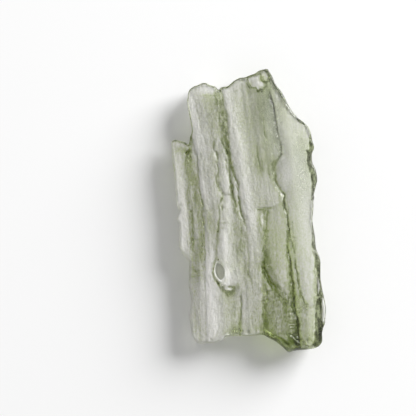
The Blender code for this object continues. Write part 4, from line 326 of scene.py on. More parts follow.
    (0, -.30, [(266.5, 209.6, .5)]), (0, -.24, [(264.2, 215, .5), (265.2, 218, .4)]), (0, -.24, [(261.2, 215.4, .6), (262.0, 224, .5)]), (.03, .22, [(267.8, 236.2, .8)]),
    # fracture beside the right groove
    (.03, .34, [(279.0, 190.8, .6), (282.0, 191.4, .7), (283.8, 193.6, .9)]), (-.01, -.22, [(281.2, 193.4, .9), (283.2, 196.2, 1.0)]), (.03, .26, [(279.2, 195.6, .9)]),
    (0, -.16, [(285.4, 186.0, .8)]), (0, -.2, [(286.4, 189.0, .8)]), (0, -.16, [(287.6, 184.6, .9)]),
    (.06, .36, [(276.2, 176, 1.2), (277.0, 184, 1.2), (279.4, 188.4, 1.1)]), (.07, .38, [(285.6, 194.6, 1.3), (284.5, 200, 1.3), (284.3, 205, 1.5), (285.0, 210, 1.4), (286.5, 215, 1.4), (287.6, 219, .9), (287.5, 222, .8)]),
    (.04, .28, [(288.0, 205, .7), (288.4, 213, 1.0)]), (.06, .36, [(289.6, 223, 1.1), (289.4, 229, 1.4), (290.4, 234, 1.0), (291.4, 239, 1.0), (293.2, 245, 1.1), (294.4, 252, .8)]),
    (.05, .38, [(287.2, 229.6, .7), (287.6, 236, .9), (287.6, 243, 1.0), (287.4, 247, .9)]),
    # notch and band on the left
    (.08, .75, [(186.8, 153.4, 1.2), (188.6, 150.8, 1.5), (189.9, 148.4, 1.0)]), (.03, .36, [(191.0, 137, 1.2), (191.4, 146, 1.1)]), (.02, .24, [(191.4, 156, 1.0), (190.6, 160, 1.0)]),
    (.03, .22, [(194.0, 146, .5), (195.5, 154, .6), (196.7, 161, .5), (197.7, 168, .6), (198.7, 175, .5), (199.6, 184, .5), (201.0, 194, .5), (202.4, 204, .5)]), (0, -.26, [(196.8, 152, .5), (198.4, 163, .4), (200.6, 180, .5), (202.4, 195, .6)]),
    (.02, .16, [(200.2, 184, .5), (201.0, 196, .7), (202.0, 205, .7)]), (-.02, -.30, [(190.8, 184, .5), (191.8, 196, .6), (192.6, 203, .5)]), (.02, .16, [(187.7, 186, .6), (187.6, 215, .6)]),
    (0, .12, [(196.6, 192, 2.0), (198, 212, 2.2)]), (.04, .34, [(191.2, 212.4, 1.0)]), (.02, .30, [(173.7, 164, .7), (174.4, 172, .8)]), (0, -.2, [(177.6, 198, .8), (178.8, 208, .9), (179.6, 214, .7)]),
    (.02, .34, [(172.6, 142, 1.0), (175.4, 141.2, 1.1)]), (.01, .18, [(177, 142, .8), (185.6, 143.8, .8)]), (0, .14, [(178, 149, 4.0), (184, 151, 3.0)]),
    # pale seam below the band, shade beside the main groove, rim of the hole
    (0, -.24, [(205.6, 212, .6), (206.4, 232, .7), (206.6, 262, .6), (206.6, 300, .6), (207.0, 338, .6)]), (0, .14, [(231.4, 160, 2.0), (234.2, 174, 2.4), (237.6, 188, 2.0)]),
    (0, .34, [(212.4, 263, 1.0), (212.8, 269, 1.3), (214.0, 275, 1.4), (216.6, 280, 1.4), (219.6, 283, 1.2)]),
    # softer shades
    (0, .16, [(301.0, 304, 1.6), (301.6, 312, 1.6)]), (0, .14, [(237.4, 204, 1.6), (238.4, 212, 1.6)]), (0, .16, [(229.8, 176, 1.6), (231.0, 186, 1.8), (231.6, 198, 1.8)]),
    (.03, .20, [(269.6, 90, .8), (271.2, 101, 1.0), (273.6, 110, 1.1), (275.6, 120, 1.1), (276.6, 131, 1.0), (277.6, 141, .9)]), (.03, .3, [(266.2, 73.4, .7)]), (.03, .3, [(263.6, 72.6, .5)]), (.02, .2, [(262.4, 76.2, .6), (264.6, 77.0, .5)]), (.03, .25, [(266.4, 78.0, .6)]),
    (0, .30, [(215.8, 93, 2.0), (216.8, 104, 2.0)]), (0, .34, [(222.6, 143, 1.4), (224.8, 149, 1.6), (226.2, 154, 1.2)]), (0, .22, [(230.4, 182, 1.8), (231.4, 190, 2.2), (232.2, 200, 2.2), (234, 212, 2.2)]),
    (0, .18, [(298.6, 296, 1.8), (300, 306, 2.2), (300.6, 316, 2.0)]), (0, .3, [(314.4, 298, 1.4), (314.6, 304, 1.4)]), (0, .18, [(257.6, 212, 1.6), (258.4, 222, 2.0), (259.4, 232, 1.6)]),
    (0, .26, [(313.8, 270, 1.0), (314.2, 280, 1.5), (314.4, 292, 1.6)]), (0, .24, [(313.2, 310, 1.4), (312.8, 326, 1.5), (312.4, 336, 1.5)]),
    (0, .16, [(313.2, 270, 1.4), (313.4, 290, 1.8), (313.4, 308, 1.6)]),
    # grain of the two flakes at the top
    (-.04, -.34, [(263.2, 72.4, .6)]), (-.04, -.4, [(265.4, 73.6, .6)]), (-.04, -.4, [(266.2, 75.8, .6)]), (-.03, -.3, [(264.2, 77.6, .7)]), (.05, .5, [(264.6, 71.2, .5), (266.6, 72.0, .5)]),
    (.05, .4, [(261.8, 76.8, .7), (263.4, 79.0, .7)]), (.04, .4, [(260.6, 80.6, .6), (262.4, 81.6, .6)]), (.03, .3, [(267.6, 73.8, .5), (268.0, 76.6, .5)]), (.05, .45, [(264.6, 81.8, .7), (267.4, 81.4, .8)]),
    (-.03, -.3, [(261.4, 83.6, 1.4)]), (-.03, -.3, [(257.4, 83.0, 1.0)]), (-.03, -.34, [(257.2, 89.4, 1.0)]), (.03, .3, [(257.6, 86.6, .5), (259.4, 86.2, .4)]), (.02, .2, [(250.2, 80.6, .8), (250.8, 84.6, .9)]),
    (.04, .55, [(256.2, 91.0, .6), (257.6, 92.2, .7), (258.8, 90.8, .5)]), (.04, .55, [(260.6, 89.8, .5), (262.0, 91.0, .7)]), (-.02, -.2, [(252.6, 76.6, 1.2)]), (.02, .2, [(257.8, 76.0, .5), (258.0, 79.6, .5)]),
    # streaks in the band of the left rib
    (0, .14, [(191.6, 214, 1.6), (192.6, 232, 1.8), (193.4, 248, 1.6)]), (0, .16, [(200.0, 200, 2.0), (201.4, 222, 2.4), (202.0, 244, 2.2), (201.4, 258, 1.6)]),
    (.01, .22, [(192.0, 258, 1.4), (193.0, 268, 1.6), (196.4, 272, 1.4)]), (0, .12, [(193.4, 276, 2.4), (194.0, 290, 2.6)]), (0, -.14, [(197.4, 224, .8), (198.0, 236, .8)]),
    # cap of the tall rib
    (.02, .12, [(202.6, 94.4, .5), (209, 95.4, .6), (217.4, 95.0, .7)]), (0, -.16, [(200.0, 90.4, 2.4), (213.0, 90.8, 2.4)]), (0, .18, [(217.6, 90.6, 1.0), (218.6, 96, 1.0)]),
    # dark second rim beside the top chip
    (.04, .5, [(245.8, 83.6, .5), (248.6, 88.2, .6)]), (0, -.3, [(247.2, 84.2, .4), (249.6, 88.0, .4)]), (.03, .2, [(250.6, 79, .6), (251.4, 83, .6)]), (0, -.2, [(256.4, 85.4, 1.6), (262.0, 84.6, 1.8)]),
    (-.03, -.5, [(265.5, 73.8, .5), (265.9, 76.4, .6)]), (0, -.3, [(266.6, 83.6, .5)]), (.04, .35, [(270.4, 80.6, .6)]),
]
# Flakes and patches with a crisp outline, some of them painted shade on the side faces: depth in mm, greenness inside,
# greenness of the rim, then the outline.
OUTLINED_PATCHES = [
    (.08, -.16, .58, [(248.0, 77.6), (247.4, 81.0), (249.3, 85.2), (251.6, 88.2), (255.2, 88.4), (257.4, 91.8), (259.0, 90.6), (260.3, 89.2), (261.7, 90.9), (263.2, 89.4),
                      (265.0, 86.4), (265.3, 83.4), (262.4, 81.0), (260.0, 77.6), (259.4, 73.6), (254.0, 75.4)]),
    # green band between the left rib and the tall rib
    (.00, .15, .0, [(186.6, 152), (190.2, 147), (192.4, 147), (194.4, 155), (196.4, 168), (198.2, 180), (200.2, 195), (201.6, 208), (203.0, 225), (203.4, 245), (203.2, 261),
                    (196, 263), (190.6, 260), (188.4, 250), (187.6, 232), (187.4, 215), (187.0, 195), (186.0, 180), (185.0, 170), (184.0, 160)]),
    # dark side faces on the right: painted shade on these faces
    (.06, .94, .0, [(309.0, 137), (308.8, 144), (308.4, 149.0), (305.8, 150.6), (305.6, 154), (306.3, 160), (307.2, 166), (308.8, 171.4), (310.4, 173.8), (310.4, 178), (311.2, 182),
                    (311.0, 187), (310.6, 192), (310.8, 198), (312.2, 202), (318, 203), (322, 190), (322, 160), (318, 140), (312, 134)]),
    (.06, .85, .0, [(311.2, 223), (311.2, 230), (311.4, 240), (311.8, 246), (313.2, 250), (314.8, 253), (315.0, 260), (315.2, 266), (316.0, 272), (317.2, 278), (318.2, 284),
                    (318.6, 290), (317.6, 294), (316.0, 296.4), (330, 296.6), (328, 280), (324, 250), (318, 224)]),
    (.06, .90, .0, [(316.2, 298.2), (315.6, 304), (315.4, 312), (314.8, 320), (314.6, 330), (314.2, 340), (312.6, 345), (322, 349), (327, 338), (325, 326), (322.2, 321), (321.4, 312), (321.4, 303), (321.6, 298.2)]),
    # dark green corner at the lower right
    (.00, .09, .14, [(262.8, 262), (262.5, 280), (262.4, 300), (262.0, 320), (260.8, 330), (266, 336), (276, 346), (288, 356), (301, 354), (300, 340), (297.6, 322), (293.6, 306), (291, 292), (286, 300), (278, 290), (270, 280)]),
    # painted shade on the lower right side face
    (.00, .34, .0, [(318.4, 321), (317.6, 332), (316.6, 343), (321, 348), (327, 338), (326, 324), (323.2, 320.4)]),
    (.06, .28, .0, [(218.6, 91), (221.8, 91), (223.0, 97), (224.4, 104), (226.2, 111), (227.8, 120), (228.8, 130), (229.6, 140), (230.2, 148), (230.4, 153), (228.6, 157),
                    (225.6, 155), (222.6, 147), (220.6, 139), (218.8, 130), (217.8, 118), (218.2, 105)]),
    (.00, .12, .0, [(266.8, 92), (269.6, 95), (273.4, 104), (275.8, 114), (276.8, 128), (280.2, 142), (281.4, 152), (279.0, 155.6), (276.0, 149), (273.2, 138),
                    (271.2, 126), (270.0, 114), (267.6, 102)]),
    (.00, .18, .0, [(276.0, 160), (275.0, 168), (275.0, 178), (277.6, 186), (281.6, 191.4), (279.4, 193), (274.6, 187), (271.6, 178), (271.0, 168), (272.8, 160)]),
    (.08, -.02, .34, [(260.2, 72.2), (260.3, 76.6), (262.7, 80.4), (265.8, 81.4), (268.0, 79.2), (268.5, 75.6), (267.0, 71.8), (264.0, 70.6)]),
]

# How thick the glass is, in mm: rows of x, y, half width, half height, change.
THICK_BASE = 2.45
CREST = 4.5
THICK = [
    (262, 122, 19, 50, 1.75), (268, 178, 14, 26, 0.4), (275, 236, 15, 34, 0.8), (279, 312, 22, 44, 2.0), (297, 318, 8, 34, 0.8),
    (232, 118, 9, 46, -0.5), (249, 214, 8, 60, -0.5), (208, 132, 9, 40, 0.35), (226, 240, 9, 36, -0.9), (213, 292, 7, 46, -0.9),
    (296, 165, 13, 46, -1.1), (303, 262, 9, 44, -0.9), (242, 306, 12, 26, 0.6), (198, 225, 9, 90, 1.1), (238, 240, 5, 26, 0.5), (192, 225, 9, 120, 0.50),
    (206, 318, 5, 30, -0.3), (230, 291, 7, 6, 0.5), (231, 275, 6, 8, -1.0),
]

# The edge all round: x, y, width of the top bevel, width of the bottom bevel, height of the rim, thickness at the rim (mm),
# then how wide the painted shade on the side face shows from above, and how dark it is painted: deep on the right-hand
# faces, lighter on the left.
EDGE = [
    (172.5, 150, 1.4, 6, 2.8, .30, 1, 0.0), (176, 140, 1.2, 2, 2.9, .7, 1.6, 0.5), (185, 142.3, 1.2, 2, 2.9, .8, 1.8, 0.5), (189.4, 143, 1.2, 2, 2.8, .9, 1.8, 0.8), (191.6, 131, 1.2, 2.5, 3.0, .7, 1.2, 0.7),
    (188.4, 108, 1.3, 3, 3.1, .5, 1.1, 0.8), (189, 91.5, 1.3, 3, 3.1, .5, 1.1, 0.8), (203, 83.4, 1.3, 3, 3.2, .6, 1.1, 0.8), (219.2, 89.7, 1.3, 3, 3.0, .7, 2.2, 0.8), (235, 80.5, 1.4, 4, 3.5, .7, 1.1, 0.6),
    (256, 73.2, 1.4, 4, 3.6, .7, 1.0, 0.5), (267, 69.2, 1.3, 4, 3.2, .6, 1.6, 0.9), (275, 84, 1.3, 4, 3.7, .6, 1.6, 0.9), (283.6, 97, 1.3, 4, 3.9, .6, 2.4, 0.9), (288.6, 106, 1.3, 4, 4.0, .5, 1.2, 0.35), (294, 114.4, 1.3, 4, 4.1, .5, 1.0, 0.3), (299.6, 120, 1.3, 4, 4.2, .5, 2.0, 1.0), (305, 124, 1.3, 4, 4.2, .6, 1.6, 0.7),
    (310.4, 136, 1.4, 4, 4.1, .7, 1.4, 0.7), (313.6, 147, 1.4, 3, 4.0, .9, 1.2, 0.3), (311.5, 158, 1.4, 3, 4.0, 1.0, 1.2, 0.3), (316.7, 178, 1.4, 3, 4.0, 1.0, 1.2, 0.3), (314, 195, 1.4, 4, 4.1, .6, 1.2, 0.3), (312.6, 213, 1.3, 5, 4.2, .45, 1.2, 0.75),
    (314.6, 238, 1.4, 3, 4.0, .8, 1.2, 0.3), (319.6, 260, 1.4, 3, 4.0, 1.0, 1.2, 0.3), (320, 275, 1.4, 3, 4.0, 1.0, 1.2, 0.3), (323, 294, 1.4, 3, 3.9, .8, 1.4, 0.5), (325.2, 310, 1.4, 3, 3.7, .6, 1.0, 0.8),
    (322.4, 329, 1.4, 3, 3.8, 1.0, 1.2, 0.3), (320.5, 344, 1.4, 3, 3.5, 1.1, 1.4, 0.4), (303, 349.6, 1.8, 3, 3.0, 1.0, 1.8, 0.8), (289, 352, 2.0, 3, 2.7, 1.0, 2.4, 0.7), (276, 341.4, 1.8, 4, 2.8, 1.0, 2.6, 0.7),
    (264, 335, 1.6, 7, 3.0, .35, 1.6, 0.3), (240, 335.6, 1.4, 8, 3.3, .25, 0.8, 0), (224, 338, 1.4, 8, 3.2, .25, 0.8, 0), (208, 342.7, 1.6, 6, 2.9, .35, 1.2, 0.0), (195, 340, 1.6, 6, 2.8, .3, 1.2, -0.1),
    (191, 306, 1.6, 6, 2.8, .3, 1.2, -0.2), (189.4, 268, 1.6, 6, 2.8, .3, 1.2, -0.15), (182, 252, 1.6, 6, 2.9, .3, 1.2, -0.2), (178, 205, 1.6, 6, 2.9, .3, 1.2, -0.15),
]

def stroke_fields(x, y):
    """Depth and greenness of the strokes at each point; the greenness includes painted shade and a painted highlight.
    """
    depth, green = np.zeros_like(x), np.zeros_like(x)
    for deep, amount, rows in STROKES:
        p = spline(rows, 3) if len(rows) > 2 else np.array(rows, float)
        reach = 2.6 * p[:, 2].max()
        m = (x > p[:, 0].min() - reach) & (x < p[:, 0].max() + reach) & (y > p[:, 1].min() - reach) & (y < p[:, 1].max() + reach)
        px, py = x[m], y[m]
        near = np.full(len(px), 9.0)
        for a, b in zip(p, p[1:] if len(p) > 1 else p):
            ex, ey = b[0] - a[0], b[1] - a[1]
            t = np.clip(((px - a[0]) * ex + (py - a[1]) * ey) / max(ex * ex + ey * ey, 1e-9), 0, 1)
            near = np.minimum(near, np.hypot(px - a[0] - t * ex, py - a[1] - t * ey) / (a[2] + t * (b[2] - a[2])))
        k = np.exp(-near * near)
        depth[m] += deep * k
        green[m] += amount * k
    return depth, green

def outlined_fields(x, y):
    """Depth and greenness of the flakes and outlined patches at each point; the greenness includes painted shade on the
    side faces.
    """
    depth, green = np.zeros_like(x), np.zeros_like(x)
    for deep, amount, rim, rows in OUTLINED_PATCHES:
        curve = spline(rows, 3, closed=True)
        m = (x > curve[:, 0].min() - 3) & (x < curve[:, 0].max() + 3) & (y > curve[:, 1].min() - 3) & (y < curve[:, 1].max() + 3)
        if not m.any():
            continue
        px, py = x[m], y[m]
        d, _ = to_curve(px, py, curve)
        d = np.where(inside(px, py, curve), d, -d)
        s = smooth(-0.4, 1.2, d)
        depth[m] += deep * s
        green[m] += amount * s * (1 + 0.35 * noise(px / 2.2, py / 4.5, 77)) + rim * np.exp(-((d + 0.2) / 0.8) ** 2)
    return depth, green

def rim_widths(curve):
    """Edge stations turned into values along the outline."""
    st = np.array(EDGE, float)
    _, place = to_curve(st[:, 0], st[:, 1], curve)
    order = np.argsort(place)
    total = np.sqrt(((np.roll(curve, -1, 0) - curve)[:, :2] ** 2).sum(1)).sum()
    return place[order], st[order, 2:], total

class Stone:
    def __init__(self, detail=1.0, step=4):
        self.detail = detail
        self.outline = spline(OUTLINE, step, closed=True)
        self.hole = spline(HOLE, step, closed=True)
        self.grooves = [Track(rows) for kind, rows in LINES.values()]
        self.steps = [(Track(rows, down), side) for down, side, rows in STEPS.values()]
        self.channel = Track([(227.5, 186), (227.5, 193), (227.0, 204), (226.5, 218), (225.6, 232), (225.4, 246), (225.8, 258), (227.0, 270), (228, 290)])
        self.edge_place, self.edge_rows, self.edge_total = rim_widths(self.outline)

    def warp(self, x, y):
        wx = 0.7 * noise(x / 9.0, y / 14.0, 5) + (0.5 * noise(x / 3.4, y / 5.0, 6) + 0.45 * noise(x / 1.7, y / 2.2, 8)) * self.detail
        wy = 1.0 * noise(x / 8.0, y / 11.0, 7) + 0.5 * noise(x / 1.9, y / 2.1, 9) * self.detail
        return x + wx, y + wy

    def macro(self, x, y):
        z = 4.1 + 0.75 * smooth(232, 305, x) - 0.70 * (1 - smooth(178, 214, x))
        z = z - 0.55 * ((y - 205) / 140.0) ** 2
        z = z + 0.10 * np.exp(-((x - 246) / 12.0) ** 2 - ((y - 150) / 90.0) ** 2)
        return z

    def relief(self, x, y):
        """Height of the carved top over the plain one, mm."""
        wx, wy = self.warp(x, y)
        h = np.zeros_like(x)
        near = np.zeros_like(x)
        for g in self.grooves:
            d, over, (amp, wl, wr) = g.read(wx, wy)
            amp = 0.72 * np.maximum(amp, 0) * np.exp(-(over / 3.0) ** 2)
            w = np.maximum(np.where(d < 0, wl, wr), .3)
            h -= amp * np.exp(-np.abs(d) / w)
            near = np.maximum(near, amp * np.exp(-np.abs(d) / 2.5))
        for c, side in self.steps:
            d, over, (amp, w, far) = c.read(wx, wy)
            d = d * side
            amp = np.maximum(amp, 0) * np.exp(-(over / 2.5) ** 2)
            s = 1 / (1 + np.exp(-np.clip(d / w, -12, 12) * 2.2))
            h -= amp * s * np.exp(-(np.maximum(d, 0) / far) ** 2)
        # the tube that runs down to the hole: a low round back
        d, _, _ = self.channel.read(wx, wy)
        h += 0.16 * smooth(191, 199, wy) * np.exp(-((d + 1.0) / 5.5) ** 2) * (1 - smooth(256, 268, wy))
        # the bowl round the hole
        r = np.sqrt(((wx - 226.0) / 13.0) ** 2 + ((wy - 274.0) / 12.0) ** 2)
        h -= 0.10 * (1 - smooth(0.35, 1.0, r)) * smooth(256, 272, wy)
        # dark lip under the bowl
        rr = np.sqrt(((wx - 229.0) / 10.0) ** 2 + ((wy - 282.0) / 11.0) ** 2)
        h -= 0.07 * np.exp(-((rr - 1.0) / 0.26) ** 2) * smooth(283, 288, wy) * (1 - smooth(236, 241, wx)) * smooth(217, 223, wx)
        # the channel's strokes and the flakes
        h -= self.detail * stroke_fields(wx, wy)[0] + outlined_fields(wx, wy)[0]
        # small scoops with sharp rims
        for sx, sy, sr, sd in SCOOPS:
            q = ((wx - sx) ** 2 + (wy - sy) ** 2) / sr ** 2
            h -= np.where(q < 1, sd * (1 - q), 0)
        return h, near

    def grain(self, x, y):
        """Fine flutes that follow the flow of the glass."""
        u = x - flow_shift(y)
        g = 0.030 * noise(u / 3.6, y / 50.0, 21) + 0.014 * noise(u / 1.9, y / 26.0, 22) + 0.070 * noise(u / 7.5, y / 70.0, 23)
        return g * self.detail

    def streaks(self, x, y):
        u = x - flow_shift(y)
        left = smooth(186, 189, x) * (1 - smooth(204, 209, x)) * smooth(150, 170, y)
        mid = smooth(236, 242, x) * (1 - smooth(258, 263, x)) * smooth(255, 285, y)
        s = 0.15 + 0.5 * left + 0.5 * mid
        return s * (0.030 * noise(u / 1.5, y / 16.0, 31) + 0.018 * noise(u / 1.0, y / 8.0, 32)) * self.detail

    def thickness(self, x, y):
        t = THICK_BASE + 0 * x
        for cx, cy, sx, sy, a in THICK:
            u = x - flow_shift(y) + flow_shift(cy)
            t = t + a * np.exp(-0.5 * ((u - cx) / sx) ** 2 - 0.5 * ((y - cy) / sy) ** 2)
        # the pale left flank of the left rib is thin
        fin = 1 - smooth(185, 190, x - 0.02 * (y - 200))
        return t * (1 - fin) + 1.05 * fin

    def heights(self, x, y):
        h, near = self.relief(x, y)
        body = self.macro(x, y)
        rough = fbm(x / 2.6, y / 4.2, 41, 2) * (0.030 + 0.20 * near) + fbm(x / 1.2, y / 1.8, 43, 2) * (0.016 + 0.10 * near)
        top = body + h + self.grain(x, y) + self.streaks(x, y) + rough * self.detail
        # the crests are worn down above this height
        over = np.maximum(top - CREST, 0)
        top = np.minimum(top, CREST) + CREST_SPAN * (1 - np.exp(-over / CREST_SPAN))
        thick = self.thickness(x, y)
        u = x - flow_shift(y)
        under = 0.16 * noise(u / 11.0, y / 70.0, 51) + 0.07 * noise(u / 5.0, y / 45.0, 52) + 0.03 * fbm(u / 3.0, y / 9.0, 53, 3)
        bottom = body + 0.45 * h - thick + under
        bottom = np.minimum(bottom, top - 0.45)
        # bevels at the outline
        d, place = to_curve(x, y, self.outline)
        keys = np.concatenate([self.edge_place - self.edge_total, self.edge_place, self.edge_place + self.edge_total])
        wt, wb, mid, tall = [np.interp(place, keys, np.tile(self.edge_rows[:, k], 3)) for k in range(4)]
        wobble = 1 + 0.08 * noise(x / 4.0, y / 5.0, 61)
        ft = 1 - (1 - np.clip(d / (wt * wobble), 0, 1)) ** 1.15
        fb = 1 - (1 - np.clip(d / wb, 0, 1)) ** 1.8
        top = (mid + tall / 2) * (1 - ft) + top * ft
        bottom = (mid - tall / 2) * (1 - fb) + bottom * fb
        # round the hole the two faces meet in a thin rim
        dh, _ = to_curve(x, y, self.hole)
        gt, gb = 1 - (1 - np.clip(dh / 2.2, 0, 1)) ** 1.5, 1 - (1 - np.clip(dh / 7.0, 0, 1)) ** 1.5
        rim = 3.66
        lip = np.clip(top - 0.05, rim + .10, rim + .26)
        top = lip * (1 - gt) + top * gt
        bottom = (rim - .14) * (1 - gb) + bottom * gb
        bottom = np.maximum(np.minimum(bottom, top - 0.26), 0.0)
        top = np.maximum(top, bottom + 0.26)
        return top, bottom

def inside(x, y, curve):
    """Even-odd rule."""
    a, b = curve[:, :2], np.roll(curve[:, :2], -1, 0)
    res = np.zeros(len(x), bool)
    for (ax, ay), (bx, by) in zip(a, b):
        if ay == by:
            continue
        m = (ay > y) != (by > y)
        res ^= m & (x < (bx - ax) * (y - ay) / (by - ay) + ax)
    return res

def inset(curve, by):
    """A closed curve moved inwards by a small distance."""
    p = curve[:, :2]
    t = np.roll(p, -1, 0) - np.roll(p, 1, 0)
    n = np.stack([-t[:, 1], t[:, 0]], 1)
    n /= np.maximum(np.linalg.norm(n, axis=1, keepdims=True), 1e-9)
    test = p + n * 0.05
    if inside(test[:, 0], test[:, 1], p).mean() < 0.5:
        n = -n
    return p + n * by

def plan_points(stone, across, along, rings):
    """Points of the plan: the outline, the hole, rings inside the edges and rows that follow the flutes."""
    edge, hole = stone.outline[:, :2], stone.hole[:, :2]
    pts = [edge, hole]
    kept_x, kept_y = [], []
    for by in rings:
        for curve, sign in ((edge, 1), (hole, -1)):
            r = inset(curve, by * sign)
            d1, _ = to_curve(r[:, 0], r[:, 1], stone.outline)
            d2, _ = to_curve(r[:, 0], r[:, 1], stone.hole)
            ok = (np.minimum(d1, d2) > by * 0.85) & inside(r[:, 0], r[:, 1], edge) & ~inside(r[:, 0], r[:, 1], hole)
            pts.append(r[ok])
    rows = np.arange(68, 353, along)
    for j, y in enumerate(rows):
        u = np.arange(120, 380, across) + (across / 2 if j % 2 else 0)
        x = u + flow_shift(y)
        x = x[(x > 165) & (x < 330)]
        kept_x.append(x)
        kept_y.append(np.full(len(x), float(y)))
    x, y = np.concatenate(kept_x), np.concatenate(kept_y)
    m = inside(x, y, edge) & ~inside(x, y, hole)
    x, y = x[m], y[m]
    d1, _ = to_curve(x, y, stone.outline)
    d2, _ = to_curve(x, y, stone.hole)
    near = max(rings) + across * 0.45
    m = np.minimum(d1, d2) > near
    pts.append(np.stack([x[m], y[m]], 1))
    return np.concatenate(pts), len(edge), len(hole)

def plan_triangles(points, n_edge, n_hole):
    """Triangles that fill the plan between the outline and the hole."""
    edges = [(i, (i + 1) % n_edge) for i in range(n_edge)]
    edges += [(n_edge + i, n_edge + (i + 1) % n_hole) for i in range(n_hole)]
    verts, _, faces, _, _, _ = delaunay_2d_cdt([tuple(p) for p in points], edges, [], 0, 1e-6)
    verts = np.array([tuple(v) for v in verts])
    faces = np.array(faces)
    mid = verts[faces].mean(1)
    keep = inside(mid[:, 0], mid[:, 1], points[:n_edge]) & ~inside(mid[:, 0], mid[:, 1], points[n_edge:n_edge + n_hole])
    return verts, faces[keep]

def plan_middle(stone, bulge):
    """Middle of the plan's box, on the drawing."""
    rim = inset(stone.outline, -bulge)
    return (rim[:, 0].min() + rim[:, 0].max()) / 2, (rim[:, 1].min() + rim[:, 1].max()) / 2

def solid(name, stone, across, along, rings, bulge, courses=1, ripple=0.0):
    """The plan as one sheet, extruded to a slab, its two sides then carved to their heights."""
    points, n_edge, n_hole = plan_points(stone, across, along, rings)
    verts, faces = plan_triangles(points, n_edge, n_hole)
    top, bottom = stone.heights(verts[:, 0], verts[:, 1])
    bm = bmesh.new()
    sheet = [bm.verts.new((x, -y, 0.0)) for x, y in verts]
    bm.verts.ensure_lookup_table()
    for tri in faces:
        bm.faces.new([sheet[i] for i in tri])
    bmesh.ops.recalc_face_normals(bm, faces=bm.faces)
    bm.verts.index_update()
    count = len(bm.verts)
    grown = bmesh.ops.extrude_face_region(bm, geom=list(bm.faces))
    upper = [g for g in grown["geom"] if isinstance(g, bmesh.types.BMVert)]
    # each upper point takes the height of the one it grew from
    key = {(round(v.co.x, 5), round(v.co.y, 5)): i for i, v in enumerate(sheet)}
    walls = []
    for v in upper:
        i = key[(round(v.co.x, 5), round(v.co.y, 5))]
        v.co.z = top[i] / (UNIT / MM)
        for e in v.link_edges:
            if e.other_vert(v) is sheet[i]:
                walls.append(e)
    for i, v in enumerate(sheet):
        v.co.z = bottom[i] / (UNIT / MM)
    # the side faces swell a little between their two rims
    cut = bmesh.ops.subdivide_edges(bm, edges=walls, cuts=courses, use_grid_fill=True)
    middle = [g for g in cut["geom_inner"] if isinstance(g, bmesh.types.BMVert)]
    rims = []
    for curve, by in ((stone.outline[:, :2], -bulge), (stone.hole[:, :2], bulge)):
        rims.append((curve, inset(curve, by) - curve, stone.heights(curve[:, 0], curve[:, 1])))
    for v in middle:
        x, y = v.co.x, -v.co.y
        gaps = [((c - (x, y)) ** 2).sum(1) for c, _, _ in rims]
        curve, out, (high, low) = rims[int(gaps[1].min() < gaps[0].min())]
        i = min(gaps, key=lambda q: q.min()).argmin()
        up = v.co.z * UNIT / MM
        swell = math.sin(math.pi * min(max((up - low[i]) / (high[i] - low[i]), 0.0), 1.0))
        if ripple:
            h = np.array([v.co.z])
            swell *= 1 + ripple * float(0.6 * noise((x + h) / 4.2, (y - 0.7 * h) / 4.2, 81)[0] + 0.4 * noise((x - h) / 2.1, (y + h) / 2.1, 82)[0])
        v.co.x, v.co.y = curve[i, 0] + out[i, 0] * swell, -(curve[i, 1] + out[i, 1] * swell)
    bmesh.ops.triangulate(bm, faces=[f for f in bm.faces if len(f.verts) > 3])
    bmesh.ops.recalc_face_normals(bm, faces=bm.faces)
    cx, cy = plan_middle(stone, bulge)
    for v in bm.verts:
        v.co.x = (v.co.x - cx) * UNIT
        v.co.y = (v.co.y + cy) * UNIT
        v.co.z = v.co.z * UNIT
    mesh = bpy.data.meshes.new(name)
    bm.to_mesh(mesh)
    bm.free()
    return mesh


def new_material(name):
    material = bpy.data.materials.new(name)
    material.use_nodes = True
    tree = material.node_tree
    tree.nodes.clear()
    out = tree.nodes.new("ShaderNodeOutputMaterial")
    return material, tree, out

def near_mean(values, pairs, turns):
    """The values smoothed over the mesh by passing them between neighbours."""
    count = len(values)
    a, b = pairs[:, 0], pairs[:, 1]
    degree = np.bincount(a, minlength=count) + np.bincount(b, minlength=count)
    v = values.copy()
    for _ in range(turns):
        s = np.bincount(a, v[b], count) + np.bincount(b, v[a], count)
        v = 0.5 * v + 0.5 * s / np.maximum(degree, 1)
    return v

# How the green of the glass and painted shade show along the grooves: core, its half width, halo, its reach left and
# right (plan units).
LINE_TINT_AND_SHADE = {
    "groove_a": (0.10, 0.9, 0.09, 5.0, 0.8), "groove_b": (0.16, 1.2, 0.10, 3.0, 1.0), "groove_b2": (0.0, 1.1, 0.0, 2.0, 1.5),
    "groove_g": (0.22, 1.2, 0.34, 5.6, 1.4), "groove_g2": (0.14, 1.0, 0.12, 1.8, 1.2), "channel_c0": (0.0, 0.9, 0.0, 2.0, 1.0),
    "line_d": (0.26, 0.8, 0.10, 2.0, 1.0), "break_h": (0.0, 1.1, 0.12, 1.4, 4.0), "break_h2": (0.0, 0.9, 0.0, 1.0, 1.0),
    "track_1": (0.26, 0.7, 0.0, 1, 1), "track_2": (0.24, 0.7, 0.0, 1, 1), "track_3": (0.30, 0.7, 0.0, 1, 1), "track_4": (0.26, 0.7, 0.0, 1, 1),
    "track_5": (0.14, 0.8, 0.0, 1, 1), "flute_1": (0.18, 0.8, 0.04, 1, 1), "edge_line": (0.30, 0.9, 0.0, 1, 2),
}
